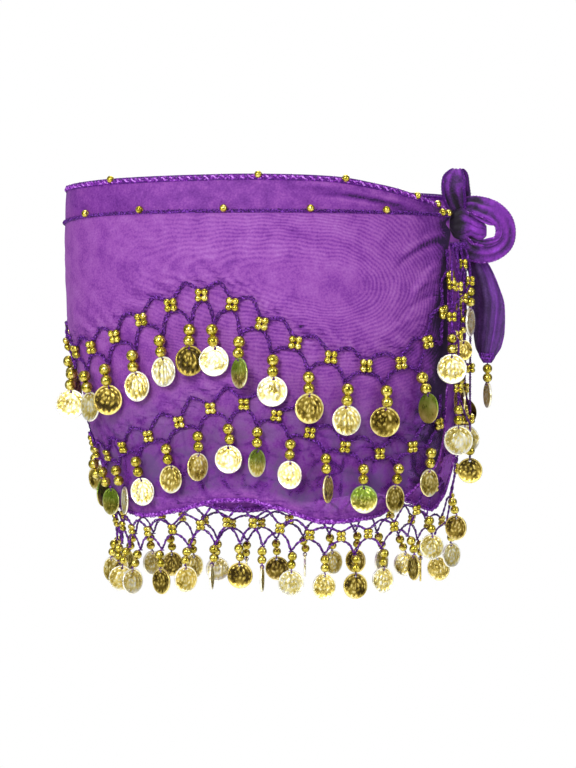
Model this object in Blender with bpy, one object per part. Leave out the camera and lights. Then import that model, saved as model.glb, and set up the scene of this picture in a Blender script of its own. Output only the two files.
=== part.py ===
# Belly dance hip scarf, worn: one long strip of sheer chiffon wound once round the hips and
# tied in a bow at the wearer's left hip. The top and lower edges are crocheted, a beaded chain
# marks the tie line, and three rows of crocheted coin lace swing up to the knot.
#
# Frame: +Z up, the wearer faces -Y, the knot is at +X. The origin is the middle of the hips at
# the height of the tie line. Tables and helper functions work in millimetres and degrees; an
# angle of 0 is the front centre, positive towards the knot and negative towards the back.

import math
from collections import namedtuple

import bmesh
import bpy
from mathutils import Vector

METRES_PER_MM = 0.001

# Cloth and trims
clothWall = 1.2
seamGap = 0.35
topBandHeight = 5.2
topBandProud = 0.6
hemCordHeight = 3.2
chainCordRadius = 1.1
chainHeight = 0.8
chainSideDrop = 3.8
chainSideReach = 26.0
laceLift = 1.0
laceCordRadius = 1.05
clusterCordRadius = 2.1
cordBulge = 1.7
nodeHalfLength = 1.8

# Drape of the cloth
hemWaveDepth = 2.4
hemWaveCount = 6
hemWaveStart = -60.0
hemHeight = -220.0
knotFoldDepth = 2.2
knotFoldReach = 48.0
knotFoldCount = 7

# Layout round the hips
knotAngle = 71.5
sideSeamAngle = -90.0
seamHalfAngle = 0.08
fullTurn = 360.0
clothRows = 9
clothColumnPitch = 12.2
stationStep = 0.5

HipSection = namedtuple("HipSection", "height left right front back")
hipSections = [
    HipSection(40.0, 147.0, 147.0, 101.0, 101.0),
    HipSection(0.0, 150.0, 150.0, 104.0, 104.0),
    HipSection(-62.0, 149.0, 151.0, 108.0, 109.0),
    HipSection(-133.0, 136.0, 148.0, 107.0, 108.0),
    HipSection(-190.0, 121.0, 143.0, 100.0, 101.0),
    HipSection(-225.0, 110.0, 137.0, 95.0, 96.0),
    HipSection(-290.0, 103.0, 131.0, 91.0, 92.0),
]

# Each station is a line down the cloth, from its place on the top edge to its place on the hem.
# Its columns are those two angles, and the heights of the top edge, of the upper and middle lace
# rows and of the hem. The near fan spreads from the knot over the front, the far fan gathers the
# back into it, and a slit stays open between them below the knot.
Station = namedtuple("Station", "angle hemAngle top upper middle hem")
nearFan = [
    Station(66.5, 66.5, 7.5, -2.0, -10.0, -19.0),
    Station(65.4, 66.0, 7.8, -6.0, -26.0, -50.0),
    Station(64.0, 66.6, 8.2, -12.0, -50.0, -90.0),
    Station(62.0, 67.0, 9.0, -20.0, -76.0, -124.0),
    Station(59.5, 67.0, 10.2, -33.0, -102.0, -154.0),
    Station(56.5, 65.5, 11.8, -50.0, -124.0, -175.0),
    Station(52.5, 60.5, 13.6, -69.0, -142.0, -188.0),
    Station(48.0, 52.5, 15.6, -84.0, -155.0, -200.5),
    Station(43.0, 44.5, 18.2, -96.0, -162.0, -213.0),
]
roundStations = [
    Station(35.0, 35.0, 21.6, -102.0, -164.0, -220.5),
    Station(20.0, 20.0, 26.6, -95.0, -155.0, -223.2),
    Station(5.0, 5.0, 27.8, -77.0, -135.0, -213.0),
    Station(-6.0, -6.0, 28.0, -57.0, -126.0, -207.0),
    Station(-16.0, -16.0, 27.7, -48.5, -129.0, -207.5),
    Station(-32.0, -32.0, 27.2, -61.5, -144.5, -214.5),
    Station(-50.0, -50.0, 26.6, -81.0, -158.5, -219.5),
    Station(-70.0, -70.0, 25.6, -90.0, -167.0, -216.5),
    Station(-90.0, -90.0, 24.9, -81.0, -160.5, -212.0),
    Station(-106.0, -106.0, 25.0, -61.0, -143.0, -209.0),
    Station(-122.0, -122.0, 25.4, -50.0, -127.0, -207.0),
    Station(-147.0, -147.0, 26.6, -72.0, -145.0, -214.0),
    Station(-172.0, -172.0, 28.0, -101.0, -165.0, -223.0),
    Station(-196.0, -196.0, 27.8, -76.0, -146.0, -214.0),
    Station(-218.0, -218.0, 26.8, -51.0, -127.0, -207.0),
    Station(-236.0, -236.0, 24.2, -77.0, -147.0, -215.0),
    Station(-252.0, -252.0, 21.0, -101.0, -164.0, -219.0),
]
farFan = [
    Station(-260.0, -260.0, 18.2, -97.0, -162.0, -213.0),
    Station(-265.0, -264.5, 15.6, -84.0, -154.0, -202.0),
    Station(-269.5, -268.0, 13.6, -69.0, -140.0, -188.0),
    Station(-273.5, -270.5, 11.8, -50.0, -120.0, -170.0),
    Station(-276.5, -273.0, 10.2, -33.0, -98.0, -146.0),
    Station(-279.0, -276.0, 9.0, -20.0, -72.0, -116.0),
    Station(-281.0, -279.0, 8.2, -12.0, -48.0, -84.0),
    Station(-282.4, -281.5, 7.8, -6.0, -26.0, -48.0),
    Station(-283.5, -283.5, 7.5, -2.0, -10.0, -19.0),
]
stations = nearFan + roundStations + farFan

# Coin lace. Pitch is measured along the row's own line, which starts and ends at two stations.
# Drops run from the line to the cord's peaks and to the bead clusters (at troughs and at crests
# of the wave), and from the net's point to beads and coin. An arm of the net runs from a cluster
# to the point, which lies at least the least drop below the clusters. The points near the knot
# carry nothing where they lie above the two hanging limits.
LaceRow = namedtuple(
    "LaceRow",
    "line start end pitch peakDrop drop crestDrop arm leastDrop clusterHalf beadRadius beadOneDrop"
    " beadTwoDrop coinRadius coinDrop nearLimit farLimit",
)
upperRow = LaceRow(
    line="upper", start=61.0, end=-276.5, pitch=26.3,
    peakDrop=0.0, drop=10.0, crestDrop=11.5, arm=19.8, leastDrop=9.5, clusterHalf=4.6,
    beadRadius=4.2, beadOneDrop=5.8, beadTwoDrop=13.8, coinRadius=11.0, coinDrop=28.2,
    nearLimit=-98.0, farLimit=-104.0,
)
middleRow = LaceRow(
    line="middle", start=54.8, end=-274.5, pitch=26.6,
    peakDrop=0.0, drop=10.5, crestDrop=12.5, arm=16.2, leastDrop=8.0, clusterHalf=4.1,
    beadRadius=3.8, beadOneDrop=5.6, beadTwoDrop=13.0, coinRadius=10.2, coinDrop=27.6,
    nearLimit=-140.0, farLimit=-176.5,
)
hemRow = LaceRow(
    line="hem", start=54.7, end=-274.0, pitch=21.4,
    peakDrop=5.0, drop=11.5, crestDrop=17.0, arm=17.2, leastDrop=9.0, clusterHalf=3.5,
    beadRadius=3.2, beadOneDrop=4.6, beadTwoDrop=10.6, coinRadius=9.4, coinDrop=24.0,
    nearLimit=-190.0, farLimit=-185.0,
)
coinHalfThickness = 0.6
coinShoulder = 0.41
beadSquareness = 0.82
waistShare = 0.45
pendantGap = 0.9
normalShare = 0.6
fanWidth = 27.0

# Turn of each coin about its own thread, in order from the knot round the front; the pattern
# comes again round the back.
upperTurns = [-78, 30, 4, -8, 6, 52, -4, -44, 8, -6, -36, 58, -74, 12, -50]
middleTurns = [8, -5, 46, -52, 40, -56, 4, -66, 5, -14, 16, -24, 22, -58, -56]
hemTurns = [46, -62, 5, 8, -10, 3, -84, 4, 78, -62, 5, 84, -78, 32, -46]

# Knot, bow and tail: places are offsets from the knot's middle, to the right, up and back.
knotCentre = Vector((146.0, -34.0, -4.0))
bandHalfThickness = 1.5
bandSides = 8

KnotRing = namedtuple("KnotRing", "right up halfHeight halfDepth")
knotRings = [
    KnotRing(-7.0, 0.0, 5.0, 3.5),
    KnotRing(-3.5, 0.0, 11.0, 6.5),
    KnotRing(2.0, 0.0, 12.6, 8.2),
    KnotRing(7.0, -1.0, 9.8, 8.2),
    KnotRing(12.0, -4.0, 7.8, 7.5),
    KnotRing(17.0, -5.6, 7.0, 6.3),
    KnotRing(20.5, -6.0, 3.8, 3.4),
]
knotSides = 12

BandPoint = namedtuple("BandPoint", "right up back halfWidth tilt")
earPath = [
    BandPoint(-3.0, 16.0, -5.0, 7.5, 90.0),
    BandPoint(-4.6, 25.0, -8.0, 8.2, 90.0),
    BandPoint(-3.4, 33.0, -7.0, 8.0, 86.0),
    BandPoint(-1.0, 39.5, -1.0, 4.6, 82.0),
    BandPoint(1.2, 35.0, 5.0, 5.4, 78.0),
    BandPoint(1.8, 27.0, 7.0, 6.2, 82.0),
    BandPoint(3.0, 16.5, 4.5, 6.0, 90.0),
]
loopPath = [
    BandPoint(9.5, 13.5, -2.0, 6.2, 26.0),
    BandPoint(17.0, 11.6, -5.0, 7.4, 28.0),
    BandPoint(25.5, 8.2, -5.5, 7.8, 32.0),
    BandPoint(32.2, 1.8, -4.0, 8.2, 36.0),
    BandPoint(34.6, -6.4, -1.0, 8.6, 38.0),
    BandPoint(32.6, -14.4, 2.0, 8.6, 36.0),
    BandPoint(25.4, -20.0, 4.0, 8.2, 32.0),
    BandPoint(16.6, -22.0, 4.0, 7.2, 28.0),
    BandPoint(8.4, -20.4, 2.0, 6.0, 26.0),
]

TailSection = namedtuple("TailSection", "right up back halfWidth pleatDepth")
tailSections = [
    TailSection(11.5, -21.0, 15.0, 4.5, 1.6),
    TailSection(16.0, -33.0, 17.5, 8.0, 2.0),
    TailSection(20.0, -45.0, 20.0, 9.5, 2.6),
    TailSection(23.0, -62.0, 20.0, 12.0, 2.8),
    TailSection(23.5, -80.0, 19.0, 11.5, 2.6),
    TailSection(23.0, -92.0, 18.0, 9.5, 2.2),
    TailSection(22.5, -98.5, 18.0, 6.0, 1.6),
]
tailPleats = 2.5
tailColumns = 12
tailRowsPerSection = 2

PendantRing = namedtuple("PendantRing", "down halfWidth halfDepth turn")
tailPendantRings = [
    PendantRing(0.0, 5.0, 2.2, 0.0),
    PendantRing(3.5, 5.0, 2.6, 0.0),
    PendantRing(5.0, 2.0, 2.0, 0.0),
    PendantRing(8.0, 3.6, 3.6, 20.0),
    PendantRing(11.4, 1.6, 1.6, 35.0),
    PendantRing(14.6, 3.6, 3.6, 50.0),
    PendantRing(18.4, 4.1, 0.6, 75.0),
    PendantRing(24.0, 10.0, 0.6, 78.0),
    PendantRing(32.0, 10.0, 0.6, 78.0),
    PendantRing(38.0, 4.1, 0.6, 78.0),
]
tailPendantTop = Vector((22.5, 18.0, -99.4))

# The surplus lace of both ends is gathered under the knot and hangs in the slit as strands. Each
# strand has its root in the gather, from the front left, and its place, its coin's height, radius
# and turn; a place of None leaves a root empty.
Strand = namedtuple("Strand", "right back coinUp coinRadius turn")
frontStrands = [
    Strand(-6.5, -23.0, -109.0, 11.0, 5.0),
    Strand(-1.5, -19.0, -161.6, 11.0, -8.0),
    Strand(2.5, -13.0, -95.0, 7.6, -30.0),
    Strand(8.0, -8.0, -74.0, 10.5, -70.0),
]
rearStrands = [
    Strand(0.5, -3.0, -132.0, 10.5, 72.0),
    Strand(8.5, 4.5, -184.6, 9.4, 10.0),
    Strand(5.0, 10.5, -161.6, 11.0, -6.0),
    None,
]
gatherCell = 3.0
gatherTop = -14.6
gatherBottom = -19.5
strandNeckUp = -36.0
strandHalf = 0.9
strandClusterHalf = 2.8
strandBeadHalf = 3.2
StrandRing = namedtuple("StrandRing", "above size turnShare")
strandRings = [
    StrandRing(42.0, strandHalf, 0.0),
    StrandRing(38.5, strandClusterHalf, 0.0),
    StrandRing(35.0, strandHalf, 0.2),
    StrandRing(22.5, strandBeadHalf, 0.4),
    StrandRing(18.6, strandHalf, 0.6),
    StrandRing(14.8, strandBeadHalf, 0.8),
]


# ---- smooth curves through the tables ----

class SmoothCurve:
    # Passes through every point of a table and never swings past them.
    def __init__(self, points):
        points = sorted(points)
        self.xs = [x for x, _ in points]
        self.ys = [y for _, y in points]
        steps = [b - a for a, b in zip(self.xs, self.xs[1:])]
        rises = [(b - a) / step for a, b, step in zip(self.ys, self.ys[1:], steps)]
        self.slopes = [rises[0]]
        for before, after in zip(rises, rises[1:]):
            level = before * after <= 0.0
            self.slopes.append(0.0 if level else 2.0 * before * after / (before + after))
        self.slopes.append(rises[-1])

    def __call__(self, x):
        x = min(max(x, self.xs[0]), self.xs[-1])
        i = 0
        while i < len(self.xs) - 2 and x > self.xs[i + 1]:
            i += 1
        step = self.xs[i + 1] - self.xs[i]
        t = (x - self.xs[i]) / step
        startPart = self.ys[i] * (1.0 + 2.0 * t) * (1.0 - t) ** 2
        endPart = self.ys[i + 1] * t * t * (3.0 - 2.0 * t)
        startSlope = self.slopes[i] * step * t * (1.0 - t) ** 2
        endSlope = self.slopes[i + 1] * step * t * t * (t - 1.0)
        return startPart + endPart + startSlope + endSlope


hipCurves = {
    side: SmoothCurve([(row.height, getattr(row, side)) for row in hipSections])
    for side in ("left", "right", "front", "back")
}
wrapCurves = {
    name: SmoothCurve([(row.angle, getattr(row, name)) for row in stations])
    for name in ("hemAngle", "top", "upper", "middle", "hem")
}
firstAngle = stations[0].angle
lastAngle = stations[-1].angle


# ---- the surface of the worn cloth ----

def easeBetween(x, start, end):
    t = min(max((x - start) / (end - start), 0.0), 1.0)
    return t * t * (3.0 - 2.0 * t)


def knotDistance(angle):
    # Degrees round the hips to the knot, the nearer way.
    return min(abs(angle - knotAngle), abs(angle - knotAngle + fullTurn))


def drape(angle, height):
    # How far the cloth stands off the plain hip form: soft waves that grow towards the hem, and
    # creases that spread from the knot.
    grow = easeBetween(height, hemWaveStart, hemHeight)
    calm = easeBetween(knotDistance(angle), 8.0, 30.0)
    wave = hemWaveDepth * grow * calm * math.sin(math.radians(hemWaveCount * angle))
    across = 2.0 * knotDistance(angle)
    distance = math.hypot(across, height)
    bearing = math.atan2(height, across)
    crease = knotFoldDepth * math.exp(-distance / knotFoldReach) * math.cos(knotFoldCount * bearing)
    return wave + crease


def hipPoint(angle, height, out):
    # A point at this angle and height, standing out from the plain hip form.
    sine = math.sin(math.radians(angle))
    cosine = math.cos(math.radians(angle))
    across = hipCurves["right" if sine > 0.0 else "left"](height) + out
    along = hipCurves["front" if cosine > 0.0 else "back"](height) + out
    return Vector((across * sine, -along * cosine, height))


def clothPoint(angle, height, out):
    # A point that stands out from the draped cloth's outer face.
    return hipPoint(angle, height, drape(angle, height) + out)


def stationAngle(station, height):
    # The angle of a station's line at one height, between its top and its hem.
    top = wrapCurves["top"](station)
    hem = wrapCurves["hem"](station)
    share = (top - height) / (top - hem)
    return station + (wrapCurves["hemAngle"](station) - station) * share


def millimetresPerDegree(angle):
    across = hipCurves["left"](0.0) * math.cos(math.radians(angle))
    along = hipCurves["front"](0.0) * math.sin(math.radians(angle))
    return math.radians(1.0) * math.hypot(across, along)


MapPoint = namedtuple("MapPoint", "angle height")


def shifted(point, across, up):
    # Moves a point over the cloth's face by millimetres along it and up it.
    return MapPoint(point.angle + across / millimetresPerDegree(point.angle), point.height + up)


def between(first, second, share):
    angle = first.angle + (second.angle - first.angle) * share
    return MapPoint(angle, first.height + (second.height - first.height) * share)


def mapStep(first, second):
    # The unit direction over the cloth's face from one point to another.
    across = (second.angle - first.angle) * millimetresPerDegree(0.5 * (first.angle + second.angle))
    return Vector((across, second.height - first.height)).normalized()


def evenColumns(start, end, pitch):
    # Stations spaced evenly along the middle lace line, from one angle to another.
    count = int(abs(end - start) / stationStep) + 1
    angles = [start + (end - start) * i / count for i in range(count + 1)]
    points = []
    for angle in angles:
        height = 0.5 * (wrapCurves["middle"](angle) + wrapCurves["hem"](angle))
        points.append(hipPoint(stationAngle(angle, height), height, 0.0))
    lengths = [0.0]
    for before, after in zip(points, points[1:]):
        lengths.append(lengths[-1] + (after - before).length)
    columns = max(2, round(lengths[-1] / pitch))
    return [valueAt(lengths, angles, lengths[-1] * i / columns) for i in range(columns + 1)]


def valueAt(xs, ys, x):
    # Straight-line reading of a table of rising xs.
    i = 0
    while i < len(xs) - 2 and x > xs[i + 1]:
        i += 1
    share = (x - xs[i]) / (xs[i + 1] - xs[i])
    return ys[i] + (ys[i + 1] - ys[i]) * share


# ---- meshes ----

def finishObject(name, mesh, material, smooth):
    # Turns a bmesh in millimetres into an object in metres with its faces pointing out.
    bmesh.ops.recalc_face_normals(mesh, faces=mesh.faces)
    bmesh.ops.scale(mesh, vec=(METRES_PER_MM,) * 3, verts=mesh.verts)
    data = bpy.data.meshes.new(name)
    mesh.to_mesh(data)
    mesh.free()
    if smooth:
        data.shade_smooth()
    data.materials.append(material)
    built = bpy.data.objects.new(name, data)
    bpy.context.collection.objects.link(built)
    return built


def addRing(mesh, points):
    return [mesh.verts.new(point) for point in points]


def bridgeRings(mesh, first, second, skip=None):
    # Quads between two rings of equal count; skip leaves out the quad that starts there.
    count = len(first)
    for i in range(count):
        if i != skip:
            j = (i + 1) % count
            mesh.faces.new((first[i], first[j], second[j], second[i]))


def loftObject(name, rings, material, smooth=True):
    # A closed tube through rings of points, with flat ends.
    mesh = bmesh.new()
    loops = [addRing(mesh, ring) for ring in rings]
    for first, second in zip(loops, loops[1:]):
        bridgeRings(mesh, first, second)
    mesh.faces.new(loops[0])
    mesh.faces.new(loops[-1])
    return finishObject(name, mesh, material, smooth)


def wallObject(name, outer, inner, material):
    # A thin wall between two grids of points, closed round its border.
    mesh = bmesh.new()
    outerVerts = [addRing(mesh, column) for column in outer]
    innerVerts = [addRing(mesh, column) for column in inner]
    lastColumn = len(outer) - 1
    lastRow = len(outer[0]) - 1
    for i in range(lastColumn):
        for j in range(lastRow):
            for grid in (outerVerts, innerVerts):
                corners = (grid[i][j], grid[i + 1][j], grid[i + 1][j + 1], grid[i][j + 1])
                mesh.faces.new(corners)
    for i in range(lastColumn):
        for j in (0, lastRow):
            corners = (outerVerts[i][j], outerVerts[i + 1][j], innerVerts[i + 1][j], innerVerts[i][j])
            mesh.faces.new(corners)
    for j in range(lastRow):
        for i in (0, lastColumn):
            corners = (outerVerts[i][j], outerVerts[i][j + 1], innerVerts[i][j + 1], innerVerts[i][j])
            mesh.faces.new(corners)
    return finishObject(name, mesh, material, True)


def makeMaterial(name, colour, roughness, metallic):
    material = bpy.data.materials.new(name)
    material.use_nodes = True
    shader = material.node_tree.nodes["Principled BSDF"]
    shader.inputs["Base Color"].default_value = (*colour, 1.0)
    shader.inputs["Roughness"].default_value = roughness
    shader.inputs["Metallic"].default_value = metallic
    return material


# ---- the strip of chiffon ----

def clothHeights(station):
    # Heights down one line of the cloth, inside its crocheted edges.
    top = wrapCurves["top"](station) - topBandHeight - seamGap
    hem = wrapCurves["hem"](station)
    return [top + (hem - top) * j / clothRows for j in range(clothRows + 1)]


def buildClothStretch(name, start, end, material):
    outer = []
    inner = []
    for station in evenColumns(start, end, clothColumnPitch):
        heights = clothHeights(station)
        angles = [stationAngle(station, height) for height in heights]
        outer.append([clothPoint(a, h, 0.0) for a, h in zip(angles, heights)])
        inner.append([clothPoint(a, h, -clothWall) for a, h in zip(angles, heights)])
    return wallObject(name, outer, inner, material)


def wrapStations():
    # The stations of both stretches of cloth, from the knot round to the knot.
    front = evenColumns(firstAngle, sideSeamAngle + seamHalfAngle, clothColumnPitch)
    back = evenColumns(sideSeamAngle - seamHalfAngle, lastAngle, clothColumnPitch)
    return front + back


def buildTopEdging(material):
    rings = []
    for station in wrapStations():
        top = wrapCurves["top"](station)
        corners = (
            (top - topBandHeight, -clothWall),
            (top, -clothWall),
            (top, topBandProud),
            (top - topBandHeight, topBandProud),
        )
        rings.append([clothPoint(stationAngle(station, h), h, out) for h, out in corners])
    return loftObject("top_edging", rings, material, smooth=False)


def buildHemEdging(material):
    # Runs just outside the cloth's lower edge: below the hem, and beside it along the slit.
    places = wrapStations()
    hemLine = [MapPoint(wrapCurves["hemAngle"](s), wrapCurves["hem"](s)) for s in places]
    rings = []
    for k, point in enumerate(hemLine):
        along = mapStep(hemLine[max(k - 1, 0)], hemLine[min(k + 1, len(hemLine) - 1)])
        away = Vector((-along.y, along.x))
        corners = (
            (seamGap, -clothWall),
            (seamGap + 0.5 * hemCordHeight, topBandProud),
            (seamGap + hemCordHeight, -clothWall),
        )
        rings.append([clothPoint(*shifted(point, away.x * d, away.y * d), out) for d, out in corners])
    return loftObject("hem_edging", rings, material)


def buildBeadedChain(material):
    rings = []
    for station in wrapStations():
        sway = chainSideDrop * math.exp(-((station - sideSeamAngle) / chainSideReach) ** 2)
        height = chainHeight - sway
        corners = (
            (height + chainCordRadius, seamGap),
            (height, seamGap + 2.0 * chainCordRadius),
            (height - chainCordRadius, seamGap),
        )
        rings.append([clothPoint(stationAngle(station, h), h, out) for h, out in corners])
    return loftObject("beaded_chain", rings, material)


# ---- coin lace ----

def rowCord(row):
    # The row's sewn line: distances along it and its points over the cloth's face.
    count = int((row.start - row.end) / stationStep)
    points = []
    for i in range(count + 1):
        station = row.start + (row.end - row.start) * i / count
        height = wrapCurves[row.line](station)
        points.append(MapPoint(stationAngle(station, height), height))
    lengths = [0.0]
    for before, after in zip(points, points[1:]):
        step = hipPoint(*after, 0.0) - hipPoint(*before, 0.0)
        lengths.append(lengths[-1] + step.length)
    return lengths, points


def cordReader(row):
    # A function that gives the point and the hanging direction at a distance along the row.
    lengths, points = rowCord(row)
    angles = [point.angle for point in points]
    heights = [point.height for point in points]

    def read(distance):
        return MapPoint(valueAt(lengths, angles, distance), valueAt(lengths, heights, distance))

    def hang(distance):
        reach = 0.5 * row.pitch
        along = mapStep(read(max(distance - reach, 0.0)), read(min(distance + reach, lengths[-1])))
        across = Vector((-along.y, along.x))
        mixed = across * normalShare + Vector((0.0, -1.0)) * (1.0 - normalShare)
        return mixed.normalized()

    return lengths[-1], read, hang


def fanShare(angle):
    # 1 beside the knot, fading to 0 where the rows run freely round the hips.
    return 1.0 - easeBetween(knotDistance(angle), 6.0, fanWidth)


def cellLayout(row):
    # Places of one row: cord peaks, bead clusters with their hanging directions, net points.
    length, read, hang = cordReader(row)
    cells = int(length / row.pitch)
    pitch = length / cells
    heights = [getattr(station, row.line) for station in roundStations]
    high, low = max(heights), min(heights)
    peaks = []
    for k in range(cells + 1):
        way = hang(pitch * k)
        peaks.append(shifted(read(pitch * k), way.x * row.peakDrop, way.y * row.peakDrop))
    clusters = []
    for k in range(cells):
        base = read(pitch * (k + 0.5))
        way = hang(pitch * (k + 0.5))
        share = min(max((base.height - low) / (high - low), 0.0), 1.0)
        share *= 1.0 - fanShare(base.angle)
        drop = row.drop + (row.crestDrop - row.drop) * share
        clusters.append((shifted(base, way.x * drop, way.y * drop), way))
    nodes = []
    for k in range(cells + 1):
        way = hang(pitch * k)
        nodeDrop = row.leastDrop
        if 0 < k < cells:
            before, after = clusters[k - 1][0], clusters[k][0]
            middle = between(before, after, 0.5)
            spread = 0.5 * (hipPoint(*after, 0.0) - hipPoint(*before, 0.0)).length
            if spread < row.arm:
                nodeDrop = max(nodeDrop, math.sqrt(row.arm ** 2 - spread ** 2))
        else:
            middle = shifted(peaks[k], way.x * row.clusterHalf, way.y * row.clusterHalf)
        nodes.append(shifted(middle, way.x * nodeDrop, way.y * nodeDrop))
    return peaks, clusters, nodes


def cordRing(mesh, point, along, radius):
    # Three corners of a cord that lies on the cloth: upper, outermost and lower.
    across = Vector((-along.y, along.x)) * radius
    upper = shifted(point, -across.x, -across.y)
    lower = shifted(point, across.x, across.y)
    corners = (
        clothPoint(*upper, laceLift),
        clothPoint(*point, laceLift + cordBulge * radius),
        clothPoint(*lower, laceLift),
    )
    return addRing(mesh, corners)


def carriesCoin(row, node):
    # Points near the knot carry nothing where they lie above the row's limit.
    limit = row.nearLimit if node.angle > sideSeamAngle else row.farLimit
    return knotDistance(node.angle) > fanWidth or node.height < limit


def pendantRings(row, node, turn):
    # Corner points of two beads and a coin that hang down the cloth from a net point.
    beadHalf = row.beadRadius * beadSquareness
    waist = row.beadRadius * waistShare
    beadOut = laceLift + row.beadRadius + pendantGap
    coinReach = row.coinRadius * abs(math.sin(math.radians(turn)))
    coinOut = laceLift + max(coinReach, row.beadRadius) + pendantGap
    shoulder = row.coinRadius * coinShoulder
    middleWaist = 0.5 * (row.beadOneDrop + row.beadTwoDrop)
    plan = (
        (row.beadOneDrop, beadHalf, beadHalf, beadOut, turn / 3.0),
        (middleWaist, waist, waist, beadOut, turn / 2.0),
        (row.beadTwoDrop, beadHalf, beadHalf, 0.5 * (beadOut + coinOut), turn / 1.5),
        (row.coinDrop - row.coinRadius, shoulder, coinHalfThickness, coinOut, turn),
        (row.coinDrop - shoulder, row.coinRadius, coinHalfThickness, coinOut, turn),
        (row.coinDrop + shoulder, row.coinRadius, coinHalfThickness, coinOut, turn),
        (row.coinDrop + row.coinRadius, shoulder, coinHalfThickness, coinOut, turn),
    )
    outward = clothPoint(*node, 1.0) - clothPoint(*node, 0.0)
    outward.z = 0.0
    outward.normalize()
    sideways = Vector((-outward.y, outward.x, 0.0))
    rings = []
    for down, halfWidth, halfDepth, out, yaw in plan:
        centre = clothPoint(node.angle, node.height - down, out)
        rings.append(squareRing(centre, sideways, outward, halfWidth, halfDepth, yaw))
    return rings


def squareRing(centre, sideways, outward, halfWidth, halfDepth, yaw):
    # Four level corners round a centre, turned about the upright.
    cosine = math.cos(math.radians(yaw))
    sine = math.sin(math.radians(yaw))
    wide = (sideways * cosine + outward * sine) * halfWidth
    deep = (outward * cosine - sideways * sine) * halfDepth
    return [centre + wide - deep, centre + wide + deep, centre - wide + deep, centre - wide - deep]


def addPendant(mesh, root, rings):
    loops = [root] + [addRing(mesh, ring) for ring in rings]
    for first, second in zip(loops, loops[1:]):
        bridgeRings(mesh, first, second)
    mesh.faces.new(loops[-1])


def chainCord(mesh, rings, gapsAbove, gapsBelow):
    # Joins a cord's rings; a gap leaves out the face above or below, where something hangs on.
    upperFace, lowerFace = 0, 1
    for i, (first, second) in enumerate(zip(rings, rings[1:])):
        skip = upperFace if i in gapsAbove else lowerFace if i in gapsBelow else None
        bridgeRings(mesh, first, second, skip)
    mesh.faces.new(rings[0])
    mesh.faces.new(rings[-1])


def buildLaceRow(name, row, turns, material):
    mesh = bmesh.new()
    peaks, clusters, nodes = cellLayout(row)
    half = row.clusterHalf

    upperRings = []
    for k, peak in enumerate(peaks):
        if k > 0:
            point, way = clusters[k - 1]
            along = Vector((way.y, -way.x))
            seat = shifted(point, -way.x * half, -way.y * half)
            for side in (-half, half):
                place = shifted(seat, along.x * side, along.y * side)
                upperRings.append(cordRing(mesh, place, along, clusterCordRadius))
        along = mapStep(peaks[max(k - 1, 0)], peaks[min(k + 1, len(peaks) - 1)])
        upperRings.append(cordRing(mesh, peak, along, laceCordRadius))
    upperSeats = range(1, len(upperRings) - 1, 3)

    lowerRings = []
    nodeSeats = {}
    clusterSeats = []
    for k, node in enumerate(nodes):
        if k > 0:
            point, way = clusters[k - 1]
            along = Vector((way.y, -way.x))
            seat = shifted(point, way.x * half, way.y * half)
            clusterSeats.append(len(lowerRings))
            for side in (-half, half):
                place = shifted(seat, along.x * side, along.y * side)
                lowerRings.append(cordRing(mesh, place, along, clusterCordRadius))
        along = Vector((-1.0, 0.0))
        if 0 < k < len(nodes) - 1:
            if carriesCoin(row, node):
                nodeSeats[len(lowerRings)] = node
            sides = (-nodeHalfLength, nodeHalfLength)
        else:
            sides = (0.0,)
        for side in sides:
            place = shifted(node, along.x * side, along.y * side)
            lowerRings.append(cordRing(mesh, place, along, laceCordRadius))

    chainCord(mesh, upperRings, (), upperSeats)
    chainCord(mesh, lowerRings, clusterSeats, nodeSeats)
    for above, below in zip(upperSeats, clusterSeats):
        left, right = upperRings[above], upperRings[above + 1]
        top = (left[2], left[1], right[1], right[2])
        left, right = lowerRings[below], lowerRings[below + 1]
        bottom = (left[0], left[1], right[1], right[0])
        bridgeRings(mesh, top, bottom)
    for number, (seat, node) in enumerate(nodeSeats.items()):
        first, second = lowerRings[seat], lowerRings[seat + 1]
        root = [first[2], first[1], second[1], second[2]]
        turn = turns[number % len(turns)]
        addPendant(mesh, root, pendantRings(row, node, turn))
    return finishObject(name, mesh, material, False)


# ---- knot, bow and tail ----

def knotOffset(right, up, back):
    return knotCentre + Vector((right, back, up))


def buildKnot(material):
    rings = []
    for row in knotRings:
        ring = []
        for k in range(knotSides):
            turn = 2.0 * math.pi * k / knotSides
            back = row.halfDepth * math.cos(turn)
            up = row.up + row.halfHeight * math.sin(turn)
            ring.append(knotOffset(row.right, up, back))
        rings.append(ring)
    return loftObject("knot", rings, material)


def buildBand(name, path, acrossAt, material):
    # A flat oval lofted along a folded band; acrossAt gives the way its width lies.
    centres = [knotOffset(row.right, row.up, row.back) for row in path]
    rings = []
    for k, row in enumerate(path):
        along = (centres[min(k + 1, len(centres) - 1)] - centres[max(k - 1, 0)]).normalized()
        across = acrossAt(along, math.radians(row.tilt))
        width = (across - along * across.dot(along)).normalized() * row.halfWidth
        depth = along.cross(width).normalized() * bandHalfThickness
        ring = []
        for corner in range(bandSides):
            turn = 2.0 * math.pi * corner / bandSides
            ring.append(centres[k] + width * math.cos(turn) + depth * math.sin(turn))
        rings.append(ring)
    return loftObject(name, rings, material)


def loopAcross(along, tilt):
    # The loop lies towards the front; its width turns from upright towards the back.
    back = Vector((0.0, 1.0, 0.0))
    upright = along.cross(back).normalized()
    return upright * math.cos(tilt) + back * math.sin(tilt)


def earAcross(along, tilt):
    # The ear stands up and folds over to the back, so its width stays level.
    level = Vector((math.sin(tilt), math.cos(tilt), 0.0))
    return level - along * level.dot(along)


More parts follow.
